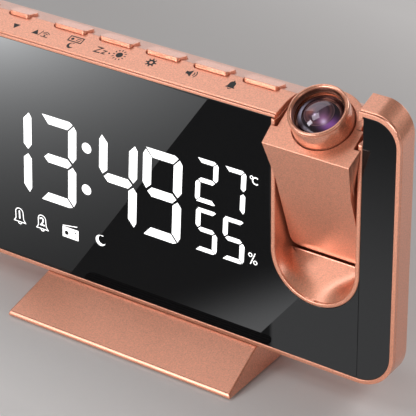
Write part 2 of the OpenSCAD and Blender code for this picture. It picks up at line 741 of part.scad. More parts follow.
module tact_switches() color([0.2, 0.2, 0.2]) place() for (k = [0 : keys - 1])
  translate([key_x(k), key_y, key_board_z]) {
    translate([-2.5, -2.5, 0]) cube([5, 5, switch_h]);
    cylinder(r = 1.2, h = switch_h + plunger_h, $fn = 32);
  }

// ---- rear parts ---------------------------------------------------------

module speaker() color([0.15, 0.15, 0.16]) place() difference() {
  union() {
    rod_y(speaker_r, speaker_x, speaker_z, cover_in - 2.6, cover_in);
    translate([speaker_x, cover_in - 2.5, speaker_z]) rotate([90, 0, 0])
      cylinder(r1 = speaker_r - 2, r2 = 9, h = 4);
    rod_y(9, speaker_x, speaker_z, cover_in - 11, cover_in - 6.4);
  }
  translate([speaker_x, cover_in + eps, speaker_z]) rotate([90, 0, 0])
    cylinder(r1 = speaker_r - 2.5, r2 = 5, h = 3.4);
}

module speaker_ring() color([0.75, 0.75, 0.75]) place() difference() {
  rod_y(speaker_r + 2, speaker_x, speaker_z, cover_in - 3.8, cover_in - 3);
  rod_y(speaker_r - 1.6, speaker_x, speaker_z, cover_in - 4.5, cover_in - 2);
}

module dc_jack() color([0.08, 0.08, 0.08]) place() {
  difference() {
    front(main_y + board_t, cover_in - seat) translate([jack_x - 4.5, port_z - 5.5]) square([9, 11]);
    rod_y(plug_r, jack_x, port_z, cover_in - 10, cover_in + 1);
  }
  rod_y(plug_r * 0.38, jack_x, port_z, cover_in - 10.5, cover_in - 1.5);
}

module usb_socket() color([0.70, 0.70, 0.72]) place() {
  difference() {
    front(main_y + board_t, body_d - 0.6) translate([usb_x - 6.6, port_z - 2.9]) square([13.2, 5.8]);
    front(cover_in - 10, body_d) translate([usb_x - 6.2, port_z - 2.5]) square([12.4, 5]);
  }
  front(cover_in - 10.5, body_d - 1.6) translate([usb_x - 5.6, port_z + 0.2]) square([11.2, 1.8]);
}

module cell_holder() color([0.2, 0.2, 0.2]) place() difference() {
  rod_y(lug_r + 1.4, cell_x, cell_z, cover_in - 5.2, cover_in);
  rod_y(cell_r + 0.2, cell_x, cell_z, cover_in - 4.4, cover_in + 1);
  rod_y(lug_r + 0.3, cell_x, cell_z, cover_in - 1.1, cover_in + 1);
}

module coin_cell() color([0.78, 0.78, 0.80]) place()
  rod_y(cell_r, cell_x, cell_z, cover_in - 4.4, cover_in - 4.4 + cell_t);

// Round bayonet cap, turned with a coin.
module battery_cap() color([0.58, 0.35, 0.28]) place() difference() {
  union() {
    rod_y(cap_r, cell_x, cell_z, cover_in - 1, body_d);
    intersection() {
      rod_y(lug_r, cell_x, cell_z, cover_in - 1, cover_in - 0.05);
      lugs(0, 11);
    }
  }
  front(body_d - 1, body_d + 1) translate([cell_x, cell_z]) square([14, 1.6], center = true);
}

// ---- foot ---------------------------------------------------------------

foot_y1 = body_d - foot_back;
foot_screw_x = [-24, 24];
foot_screw_y = 14;

// Wedge, set in by i: ramp in front, flat top under the body, straight back.
module foot_form(i) intersection() {
  side(-foot_w / 2, foot_w / 2) polygon([[-foot_reach + i, pad_proud - (i > 0 ? 1 : 0)],
    [foot_y1 - i, pad_proud - (i > 0 ? 1 : 0)], [foot_y1 - i, lift - i], [rim_w + i / 2, lift - i],
    [rim_w - 0.8 + i / 2, lift - 0.2 - i], [-foot_reach + 0.4 + i, pad_proud + foot_lip - i / 4],
    [-foot_reach + i, pad_proud + foot_lip - 0.4 - i / 4]]);
  front(-foot_reach - 1, body_d + 1) polygon([[-foot_w / 2 + i, 0], [foot_w / 2 - i, 0],
    [foot_w / 2 - foot_taper - i, lift], [-foot_w / 2 + foot_taper + i, lift]]);
}

module foot() color([0.80, 0.52, 0.42]) place() difference() {
  union() {
    difference() {
      foot_form(0);
      intersection() {
        foot_form(foot_wall);
        translate([-big / 2, -foot_reach + 9, -1]) cube([big, big, lift]);
      }
    }
    for (x = foot_screw_x) translate([x, foot_screw_y, pad_proud + 1.7]) cylinder(r = 4, h = lift - pad_proud - 1.8);
  }
  for (x = foot_screw_x) {
    translate([x, foot_screw_y, -1]) cylinder(r = screw_d / 2 + 2 * seat, h = lift + 2);
    translate([x, foot_screw_y, -1]) cylinder(r = screw_head_r + seat, h = 5);
  }
  translate([0, 0, -1]) pad_strip(pad_front_y, seat, pad_t + 1);
}
pad_r = 2.2;
pad_front_y = -foot_reach + 4.2;
pad_back_y = foot_y1 - foot_wall - 3.4;
module pad_strip(y, g, h) linear_extrude(h) round_rect(-foot_w / 2 + 7 - g, y - pad_r - g,
  foot_w / 2 - 7 + g, y + pad_r + g, [for (q = [0 : 3]) pad_r + g - eps]);

// Bottom cover inside the foot's wall.
module foot_plate() color([0.2, 0.2, 0.2]) place() difference() {
  translate([-foot_w / 2 + foot_wall + 0.6, -foot_reach + 9 + 0.2, pad_proud])
    cube([foot_w - 2 * foot_wall - 1.2, foot_y1 + foot_reach - 9 - foot_wall - 0.4, 1.6]);
  for (x = foot_screw_x) translate([x, foot_screw_y, -1]) cylinder(r = screw_head_r + seat, h = 5);
  translate([0, 0, -1]) pad_strip(pad_back_y, seat, pad_t + 1);
}

module foot_pads() color([0.08, 0.08, 0.08]) place() for (y = [pad_front_y, pad_back_y])
  pad_strip(y, 0, pad_t);

module foot_screws() color([0.25, 0.25, 0.27]) place() for (x = foot_screw_x)
  translate([x, foot_screw_y, 0]) {
    translate([0, 0, 2.4]) cylinder(r = screw_head_r, h = 1.6);
    translate([0, 0, 3.9]) cylinder(r = screw_d / 2, h = lift - 3.9 + wall + 1);
  }

// ---- output -------------------------------------------------------------

foot();
foot_plate();
foot_pads();
foot_screws();
front_frame();
housing();
rear_cover();
rear_screws();
display_lens();
side_strip();
projector_well();
digit_module();
led_board();
board_spacers();
main_board();
main_chips();
climate_sensor();
key_board();
tact_switches();
speaker();
speaker_ring();
dc_jack();
usb_socket();
coin_cell();
cell_holder();
battery_cap();
hinge_pin();
key_down();
key_up();
key_radio();
key_dimmer();
key_set();
key_volume();
key_alarm();
arm_body();
arm_plate();
arm_washers();
projector_led();
projector_slide();
condenser_lens();
lens_carrier();
objective_lens();
focus_ring();
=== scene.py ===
"""Looks of the projection alarm clock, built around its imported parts.

All sizes are in millimetres in the clock's own frame, with X to the right, Y from the mirror panel
towards the back and Z up from the table. The helper at() turns them into metres of the shared frame.
"""

from __future__ import annotations

import json
import logging
import math
from dataclasses import dataclass, field
from enum import Enum
from typing import Callable, Iterable, Optional, Sequence, Union

import bpy
from mathutils import Matrix, Vector

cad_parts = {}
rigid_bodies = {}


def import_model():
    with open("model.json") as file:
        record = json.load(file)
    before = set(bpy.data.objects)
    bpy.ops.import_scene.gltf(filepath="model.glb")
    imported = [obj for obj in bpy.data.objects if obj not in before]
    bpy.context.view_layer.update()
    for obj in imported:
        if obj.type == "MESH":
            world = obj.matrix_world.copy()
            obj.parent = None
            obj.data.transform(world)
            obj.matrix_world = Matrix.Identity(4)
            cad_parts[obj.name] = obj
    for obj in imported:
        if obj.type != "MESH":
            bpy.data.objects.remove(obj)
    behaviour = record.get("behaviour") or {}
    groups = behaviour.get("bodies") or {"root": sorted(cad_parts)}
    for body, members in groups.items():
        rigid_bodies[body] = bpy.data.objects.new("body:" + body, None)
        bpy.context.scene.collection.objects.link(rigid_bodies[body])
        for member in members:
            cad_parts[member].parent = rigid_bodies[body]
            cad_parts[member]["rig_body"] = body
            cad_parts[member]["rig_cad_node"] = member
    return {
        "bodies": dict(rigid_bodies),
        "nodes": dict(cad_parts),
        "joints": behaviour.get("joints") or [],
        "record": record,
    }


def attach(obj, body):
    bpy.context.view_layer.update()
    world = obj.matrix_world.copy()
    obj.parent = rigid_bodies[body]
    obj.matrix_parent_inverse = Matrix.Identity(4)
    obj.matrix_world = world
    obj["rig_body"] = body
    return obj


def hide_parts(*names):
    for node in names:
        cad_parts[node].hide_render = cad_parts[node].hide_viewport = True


LOG = logging.getLogger("clock")
Pair = tuple[float, float]
Triple = tuple[float, float, float]
Weight = Callable[[Vector, Vector, Vector], float]

# How far the shared frame's origin lies behind the panel, in millimetres.
MID_Y = 5.75
# Edges sharper than this many degrees are rounded.
SHARP_ANGLE = 28.0
# Where the lens axis leaves the head's top face, and how many degrees it leans towards the viewer.
LENS_FOOT: Triple = (62.0, 4.3187, 91.1664)
LENS_LEAN = 30.0


def mm(length: float) -> float:
    """Turns millimetres into metres."""
    return length / 1000.0


def at(x: float, y: float, z: float) -> Vector:
    """Turns a place on the clock in millimetres into metres of the shared frame."""
    return Vector((x, y - MID_Y, z)) / 1000.0


def on_clock(point: Vector) -> Vector:
    """Turns a point of the shared frame in metres into a place on the clock in millimetres."""
    return point * 1000.0 + Vector((0.0, MID_Y, 0.0))


def leaning(angle: float) -> Matrix:
    """A turn about X by an angle in degrees, which leans Z towards the viewer."""
    a = math.radians(angle)
    return Matrix(((1, 0, 0), (0, math.cos(a), -math.sin(a)), (0, math.sin(a), math.cos(a)))).to_4x4()


def shade(tint: Triple, share: float) -> Triple:
    """A colour made darker or lighter, up to full strength."""
    return tuple(min(1.0, c * share) for c in tint)


# ---- shader maths --------------------------------------------------------


class Sock:
    """An output socket that takes part in Python expressions."""

    def __init__(self, tree: "Recipe", socket: bpy.types.NodeSocket) -> None:
        """Keeps the socket and the recipe that it belongs to."""
        self.tree = tree
        self.socket = socket

    def _math(self, operation: str, a: "Term", b: "Term" = 0.0) -> "Sock":
        """Adds one Math node.

        Args:
            operation: the Math node's operation.
            a: first value or link.
            b: second value or link.

        Returns:
            The node's result.
        """
        return self.tree.node("ShaderNodeMath", {"operation": operation}, {0: a, 1: b})

    def __add__(self, other: "Term") -> "Sock":
        """Sum."""
        return self._math("ADD", self, other)

    def __radd__(self, other: "Term") -> "Sock":
        """Sum."""
        return self._math("ADD", other, self)

    def __sub__(self, other: "Term") -> "Sock":
        """Difference."""
        return self._math("SUBTRACT", self, other)

    def __rsub__(self, other: "Term") -> "Sock":
        """Difference, the other way round."""
        return self._math("SUBTRACT", other, self)

    def __mul__(self, other: "Term") -> "Sock":
        """Product."""
        return self._math("MULTIPLY", self, other)

    def __rmul__(self, other: "Term") -> "Sock":
        """Product."""
        return self._math("MULTIPLY", other, self)

    def over(self, limit: float) -> "Sock":
        """1 where the value is above the limit, and 0 elsewhere."""
        return self._math("GREATER_THAN", self, limit)

    def wave(self) -> "Sock":
        """Sine of the value."""
        return self._math("SINE", self)

    def fade(self) -> "Sock":
        """The exponential of the value."""
        return self._math("EXPONENT", self)

    def most(self, other: "Term") -> "Sock":
        """The larger of the value and another."""
        return self._math("MAXIMUM", self, other)

    def least(self, other: "Term") -> "Sock":
        """The smaller of the value and another."""
        return self._math("MINIMUM", self, other)

    def within(self, low: float, high: float, soft: float) -> "Sock":
        """1 between two limits, falling to 0 over a soft stretch outside them."""
        rise = self.step(low - soft, low)
        return rise * (1.0 - self.step(high, high + soft))

    def step(self, low: float, high: float) -> "Sock":
        """Climbs smoothly from 0 at one value to 1 at another."""
        return self.tree.node("ShaderNodeMapRange", {"interpolation_type": "SMOOTHSTEP"},
                              {"Value": self, "From Min": low, "From Max": high})


Term = Union[Sock, float]


class Recipe:
    """One procedural material while it is being made."""

    def __init__(self, name: str) -> None:
        """Starts an empty Principled material.

        Args:
            name: the material's name.
        """
        self.material = bpy.data.materials.new(name)
        self.material.use_nodes = True
        self.nodes = self.material.node_tree.nodes
        self.links = self.material.node_tree.links
        self.shader = next(n for n in self.nodes if n.type == "BSDF_PRINCIPLED")
        self.place: Optional[Sock] = None

    def node(self, kind: str, settings: Optional[dict] = None, inputs: Optional[dict] = None,
             output: Union[int, str] = 0) -> Sock:
        """Adds a node.

        Args:
            kind: the node's type.
            settings: the node's own settings; "stops" sets a ramp's (position, colour) pairs.
            inputs: values or links of its sockets.
            output: the output that is returned.

        Returns:
            That output, ready for expressions.
        """
        new = self.nodes.new(kind)
        for key, value in (settings or {}).items():
            if key == "stops":
                ramp = new.color_ramp
                while len(ramp.elements) < len(value):
                    ramp.elements.new(0.5)
                for element, (position, colour) in zip(ramp.elements, value):
                    element.position = position
                    element.color = (*colour, 1.0)
            else:
                setattr(new, key, value)
        for key, value in (inputs or {}).items():
            self.feed(new.inputs[key], value)
        return Sock(self, new.outputs[output])

    def feed(self, socket: bpy.types.NodeSocket, value: object) -> None:
        """Sets a socket.

        Args:
            socket: the socket.
            value: a number, a colour or a link.
        """
        if isinstance(value, Sock):
            self.links.new(value.socket, socket)
        elif isinstance(value, (tuple, list)) and len(value) == 3 and socket.type == "RGBA":
            socket.default_value = (*value, 1.0)
        else:
            socket.default_value = value

    def where(self) -> Sock:
        """Object coordinates of the point being shaded.

        Returns:
            The coordinates in metres.
        """
        if self.place is None:
            self.place = self.node("ShaderNodeTexCoord", output="Object")
        return self.place

    def noise(self, scale: float, detail: float = 2.0, rough: float = 0.5) -> Sock:
        """Noise from 0 to 1 on the object's own coordinates.

        Args:
            scale: noise cells in one metre.
            detail: octaves.
            rough: how much the finer octaves count.

        Returns:
            The noise value.
        """
        inputs = {"Vector": self.where(), "Scale": scale, "Detail": detail, "Roughness": rough}
        return self.node("ShaderNodeTexNoise", {"noise_dimensions": "3D"}, inputs)

    def axis(self, letter: str) -> Sock:
        """One object coordinate of the point, in metres."""
        return self.node("ShaderNodeSeparateXYZ", {}, {0: self.where()}, letter)

    def mix(self, share: Term, a: object, b: object) -> Sock:
        """Mixes two colours.

        Args:
            share: how much of the second colour is taken, from 0 to 1.
            a: first colour.
            b: second colour.

        Returns:
            The mixed colour.
        """
        new = self.nodes.new("ShaderNodeMix")
        new.data_type = "RGBA"
        self.feed(new.inputs[0], share)
        self.feed(new.inputs[6], a)
        self.feed(new.inputs[7], b)
        return Sock(self, new.outputs[2])

    def bump(self, height: Sock, depth: float, strength: float) -> None:
        """Feeds a height from 0 to 1 into the shader's normal.

        Args:
            height: the height.
            depth: what a height of 1 stands for, in millimetres.
            strength: how much of it is used.
        """
        inputs = {"Strength": strength, "Distance": mm(depth), "Height": height}
        self.set("Normal", self.node("ShaderNodeBump", {}, inputs, "Normal"))

    def set(self, name: str, value: object) -> None:
        """Sets one socket of the shader."""
        self.feed(self.shader.inputs[name], value)

    def along(self, foot: Vector, way: Triple) -> Sock:
        """How far the point lies from a foot along a direction.

        Args:
            foot: where the distance is 0.
            way: the direction, of length 1.

        Returns:
            The distance in millimetres.
        """
        gap = self.node("ShaderNodeVectorMath", {"operation": "SUBTRACT"}, {0: self.where(), 1: foot})
        ruler = tuple(1000.0 * c for c in way)
        return self.node("ShaderNodeVectorMath", {"operation": "DOT_PRODUCT"}, {0: gap, 1: ruler}, "Value")

    def mirror_only(self, colour: Triple, level: Term) -> bpy.types.Material:
        """Turns the material into a glow that only sharp mirrors see.

        Args:
            colour: the glow's colour.
            level: its strength.

        Returns:
            The material.
        """
        glow = self.node("ShaderNodeEmission", {}, {"Color": colour, "Strength": level})
        clear = self.node("ShaderNodeBsdfTransparent")
        sharp = self.node("ShaderNodeLightPath", output="Is Singular Ray")
        both = self.node("ShaderNodeMixShader", {}, {0: sharp, 1: clear, 2: glow})
        out = next(n for n in self.nodes if n.type == "OUTPUT_MATERIAL")
        self.links.new(both.socket, out.inputs["Surface"])
        return self.material


# ---- finishes ------------------------------------------------------------


@dataclass(frozen=True)
class MetalPaint:
    """Satin metallic paint on plastic, with a fine flake under a clear lacquer."""

    name: str
    tint: Triple
    metal: float = 0.7
    gloss: float = 0.37
    lacquer: float = 1.0
    lacquer_gloss: float = 0.3
    lacquer_ior: float = 1.72
    flake: float = 2100.0
    flake_depth: float = 0.008
    flake_share: float = 2.4
    cloud: float = 38.0
    cloud_share: float = 0.3
    cloud_gloss: float = 0.08
    dark: float = 0.76
    light: float = 1.16

    def make(self) -> bpy.types.Material:
        """Builds the material: dark and light flakes, in slow clouds.

        Returns:
            The material.
        """
        r = Recipe(self.name)
        flake = r.noise(self.flake, 2.0, 0.7)
        cloud = r.noise(self.cloud)
        level = 0.5 - (self.flake_share + self.cloud_share) / 2.0
        share = (flake * self.flake_share + cloud * self.cloud_share + level).most(0.0).least(1.0)
        r.set("Base Color", r.mix(share, shade(self.tint, self.dark), shade(self.tint, self.light)))
        r.set("Metallic", self.metal)
        r.set("Roughness", self.gloss - self.cloud_gloss / 2.0 + cloud * self.cloud_gloss)
        r.set("Coat Weight", self.lacquer)
        r.set("Coat Roughness", self.lacquer_gloss)
        r.set("Coat IOR", self.lacquer_ior)
        r.bump(flake, self.flake_depth, 0.6)
        return r.material


@dataclass(frozen=True)
class MirrorBlack:
    """Black half-mirror acrylic with a trace of dust."""

    name: str
    tint: Triple = (0.0035, 0.0035, 0.0038)
    gloss: float = 0.0
    dust: float = 900.0
    dust_limit: float = 0.72
    dust_share: float = 0.04
    dust_tint: Triple = (0.3, 0.3, 0.3)

    def make(self) -> bpy.types.Material:
        """Builds the material.

        Returns:
            The material.
        """
        r = Recipe(self.name)
        dust = r.noise(self.dust, 3.0, 0.8).over(self.dust_limit)
        r.set("Base Color", r.mix(dust * self.dust_share, self.tint, self.dust_tint))
        r.set("Roughness", self.gloss)
        r.set("IOR", 1.5)
        return r.material


@dataclass(frozen=True)
class Moulded:
    """Moulded plastic, board or rubber with a spark-eroded grain."""

    name: str
    tint: Triple
    gloss: float = 0.5
    grain: float = 2200.0
    depth: float = 0.01
    second: Optional[Triple] = None
    cloud: float = 60.0
    grain_gloss: float = 0.1

    def make(self) -> bpy.types.Material:
        """Builds the material.

        Returns:
            The material.
        """
        r = Recipe(self.name)
        grain = r.noise(self.grain, 3.0, 0.6)
        r.set("Base Color", r.mix(r.noise(self.cloud), self.second or shade(self.tint, 0.8), self.tint))
        r.set("Roughness", self.gloss - self.grain_gloss / 2.0 + grain * self.grain_gloss)
        r.bump(grain, self.depth, 0.5)
        return r.material


@dataclass(frozen=True)
class Ribbed:
    """Rubber or plastic with fine ribs along X."""

    name: str
    tint: Triple
    gloss: float = 0.62
    pitch: float = 1.2
    depth: float = 0.12

    def make(self) -> bpy.types.Material:
        """Builds the material.

        Returns:
            The material.
        """
        r = Recipe(self.name)
        ribs = (r.axis("Y") * (2.0 * math.pi / mm(self.pitch))).wave() * 0.5 + 0.5
        r.set("Base Color", r.mix(r.noise(300.0), shade(self.tint, 0.7), self.tint))
        r.set("Roughness", self.gloss + r.noise(1500.0) * 0.1)
        r.bump(ribs, self.depth, 0.7)
        return r.material


@dataclass(frozen=True)
class Glow:
    """Lit segment or symbol of the display."""

    name: str
    tint: Triple = (1.0, 1.0, 1.0)
    power: float = 1.05
    dim: float = 0.94
    plastic: Triple = (0.8, 0.8, 0.8)

    def make(self) -> bpy.types.Material:
        """Builds the material, with a slight unevenness of the light behind it.

        Returns:
            The material.
        """
        r = Recipe(self.name)
        r.set("Base Color", self.plastic)
        r.set("Roughness", 0.5)
        r.set("Emission Color", r.mix(r.noise(160.0, 1.0), shade(self.tint, self.dim), self.tint))
        r.set("Emission Strength", self.power)
        return r.material


@dataclass(frozen=True)
class CoatedGlass:
    """Plain coated glass over a dark barrel."""

    name: str
    tint: Triple = (0.055, 0.018, 0.03)
    rim: Triple = (0.16, 0.05, 0.06)
    gloss: float = 0.04
    index: float = 1.6
    coat: float = 0.6
    coat_tint: Triple = (0.85, 0.6, 0.9)

    def make(self) -> bpy.types.Material:
        """Builds the material.

        Returns:
            The material.
        """
        r = Recipe(self.name)
        self.coat_over(r)
        r.set("Base Color", r.mix(r.noise(220.0, 1.0), self.tint, self.rim))
        return r.material

    def coat_over(self, r: Recipe) -> None:
        """Sets the gloss and the coat, which every lens has.

        Args:
            r: the material in the making.
        """
        r.set("Roughness", self.gloss + r.noise(40.0) * 0.01)
        r.set("IOR", self.index)
        r.set("Coat Weight", self.coat)
        r.set("Coat Tint", self.coat_tint)


@dataclass(frozen=True)
class PaintedReflection:
    """One soft round reflection painted into the front lens's colour, in millimetres from its middle."""

    place: Pair
    size: float
    strength: float = 1.0

    def on(self, u: Sock, v: Sock) -> Sock:
        """Strength of the spot at a point of the lens.

        Args:
            u: how far the point lies to the right of the lens's middle.
            v: how far it lies towards the back.

        Returns:
            The strength, which fades to 0 away from the spot.
        """
        du, dv = u - self.place[0], v - self.place[1]
        soft = ((du * du + dv * dv) * (-1.0 / (self.size * self.size))).fade()
        return soft if self.strength == 1.0 else soft * self.strength


@dataclass(frozen=True)
class LensGlass(CoatedGlass):
    """Domed front lens: an inner element, bronze rings, a purple coat and soft reflections painted into its
    colour.
    """

    gloss: float = 0.03
    coat_tint: Triple = (0.85, 0.7, 0.95)
    radius: float = 7.25
    gap: Triple = (0.012, 0.008, 0.010)
    warm: PaintedReflection = PaintedReflection((-2.4, -0.6), 1.1, 0.7)
    pink: PaintedReflection = PaintedReflection((2.6, -2.0), 1.7, 0.85)
    white: PaintedReflection = PaintedReflection((2.9, -2.5), 0.75, 0.8)
    point: PaintedReflection = PaintedReflection((-0.6, -1.3), 0.45, 0.7)
    violet: PaintedReflection = PaintedReflection((5.6, -2.9), 2.3)
    crescent: PaintedReflection = PaintedReflection((-6.0, -1.2), 3.0)
    second: PaintedReflection = PaintedReflection((-1.9, -5.9), 1.2)

    def rings(self) -> list[tuple[float, Triple]]:
        """Colours of the glass from the middle to the rim.

        Returns:
            Each colour with its share of the radius.
        """
        element = [(0.0, (0.075, 0.05, 0.062)), (0.30, (0.10, 0.055, 0.07)), (0.42, (0.045, 0.022, 0.03)),
                   (0.50, (0.12, 0.055, 0.05)), (0.585, (0.05, 0.028, 0.03)), (0.62, (0.17, 0.10, 0.095))]
        edge = [(0.645, self.gap), (0.80, (0.02, 0.01, 0.011)), (0.90, (0.075, 0.025, 0.018)),
                (0.955, self.gap)]
        return element + edge

    def make(self) -> bpy.types.Material:
        """Builds the material on the lens's own axis.

        Returns:
            The material.
        """
        r = Recipe(self.name)
        a = math.radians(LENS_LEAN)
        foot = at(*LENS_FOOT)
        u = r.along(foot, (1.0, 0.0, 0.0))
        v = r.along(foot, (0.0, math.cos(a), math.sin(a)))
        far = r.node("ShaderNodeMath", {"operation": "SQRT"}, {0: u * u + v * v})
        colour = r.node("ShaderNodeValToRGB", {"stops": self.rings()}, {0: far * (1.0 / self.radius)})
        # Painted reflections: the violet glow, the two white crescents and the warm, pink and white spots are
        # highlights painted into the base colour.
        violet = self.violet.on(u, v) * far.within(5.0, 6.6, 0.5)
        crescent = far.within(5.6, 6.6, 0.25) * self.crescent.on(u, v)
        second = far.within(5.7, 6.4, 0.25) * self.second.on(u, v)
        colour = r.mix(self.warm.on(u, v), colour, (0.42, 0.16, 0.11))
        colour = r.mix(self.pink.on(u, v), colour, (0.42, 0.20, 0.36))
        colour = r.mix(violet, colour, (0.42, 0.16, 0.55))
        colour = r.mix(self.white.on(u, v).most(self.point.on(u, v)), colour, (0.95, 0.82, 1.0))
        colour = r.mix(crescent.most(second * 0.6), colour, (0.62, 0.68, 0.74))
        r.set("Base Color", colour)
        self.coat_over(r)
        return r.material


@dataclass(frozen=True)
class Brushed:
    """Plated steel with fine turning marks."""

    name: str
    tint: Triple
    gloss: float = 0.28
    marks: float = 2600.0
    depth: float = 0.004

    def make(self) -> bpy.types.Material:
        """Builds the material.

        Returns:
            The material.
        """
        r = Recipe(self.name)
        marks = r.noise(self.marks, 3.0, 0.7)
        r.set("Base Color", r.mix(marks, shade(self.tint, 0.8), self.tint))
        r.set("Metallic", 1.0)
        r.set("Roughness", self.gloss + marks * 0.12)
        r.bump(marks, self.depth, 0.5)
        return r.material


@dataclass(frozen=True)
class FloorPaint:
    """Pale floor with painted light and shade: its colour brightens and darkens slowly round the clock.

    The painted light holds the shares of 1, x, y, xy, xx and yy, with x and y in tenths of a metre. Past the
    stretches in x and y, which are in metres, it stays as it is at their ends.
    """

    name: str
    tint: Triple
    painted_light: tuple = (1.4175, -0.0552, -0.6277, 0.1614, 0.0531, 0.2644)
    across: Pair = (-0.18, 0.12)
    away: Pair = (-0.08, 0.25)
    limits: Pair = (0.3, 1.9)
    gloss: float = 0.6
    shine: float = 0.3

    def make(self) -> bpy.types.Material:
        """Builds the material.

        Returns:
            The material.
        """
        r = Recipe(self.name)
        x = r.axis("X").most(self.across[0]).least(self.across[1]) * 10.0
        y = r.axis("Y").most(self.away[0]).least(self.away[1]) * 10.0
        c = self.painted_light
        # Painted light and shade: the floor's colour follows a fitted fall-off of the lamps' light.
        level = x * c[1] + y * c[2] + x * y * c[3] + x * x * c[4] + y * y * c[5] + c[0]
        level = level.most(self.limits[0]).least(self.limits[1])
        r.set("Base Color", r.mix(level * 0.5, (0.0, 0.0, 0.0), tuple(2.0 * v for v in self.tint)))
        r.set("Roughness", self.gloss)
        r.set("Specular IOR Level", self.shine)
        return r.material


class Finish(Enum):
    """Every finish that the clock and its stage use."""

    SHELL = MetalPaint("rose_shell", (0.83, 0.33, 0.195))
    FRAME = MetalPaint("rose_frame", (0.83, 0.33, 0.195), gloss=0.35)
    KEYS = MetalPaint("rose_keys", (0.84, 0.33, 0.195), gloss=0.33)
    RING = MetalPaint("rose_ring", (0.80, 0.33, 0.20), gloss=0.28, lacquer_gloss=0.2)
    BARREL = MetalPaint("bronze_barrel", (0.30, 0.105, 0.06), gloss=0.22, metal=0.9, lacquer=0.3)
    PANEL = MirrorBlack("mirror_panel")
    STRIP = MirrorBlack("mirror_strip")
    BLACK = Moulded("black_plastic", (0.022, 0.022, 0.024))
    DARK = Moulded("dark_plastic", (0.035, 0.034, 0.034), 0.55)
    WHITE = Moulded("white_plastic", (0.78, 0.78, 0.75), 0.45)
    BOARD = Moulded("board_green", (0.02, 0.11, 0.055), 0.35, 700.0, 0.02, (0.015, 0.085, 0.04))
    CHIP = Moulded("chip_black", (0.018, 0.018, 0.02), 0.6)
    CONE = Moulded("speaker_paper", (0.03, 0.03, 0.033), 0.8, 1200.0, 0.05)
    RUBBER = Ribbed("foot_rubber", (0.02, 0.02, 0.02))
    STEEL = Brushed("plated_steel", (0.62, 0.62, 0.64))
    DARK_STEEL = Brushed("blackened_steel", (0.09, 0.09, 0.095), 0.4)
    BRASS = Brushed("contact_brass", (0.72, 0.55, 0.25), 0.3)
    GLASS = CoatedGlass("coated_lens")
    FRONT_GLASS = LensGlass("front_lens")
    FILM = CoatedGlass("crystal_film", (0.05, 0.03, 0.03), (0.12, 0.07, 0.06), 0.15)
    LIT = Glow("lit_segment")
    INK = Moulded("print_black", (0.012, 0.011, 0.011), 0.5, 3000.0, 0.002)
    # Near-black for the radio symbol's holes, and painted shade in the step of the front frame.
    VOID = Moulded("hole_and_shade_black", (0.006, 0.006, 0.006), 0.9)
    FLOOR = FloorPaint("pale_floor", (0.50, 0.485, 0.48))

    def material(self) -> bpy.types.Material:
        """The finish's material, made the first time it is asked for."""
        return bpy.data.materials.get(self.value.name) or self.value.make()


# ---- modelling helpers ---------------------------------------------------


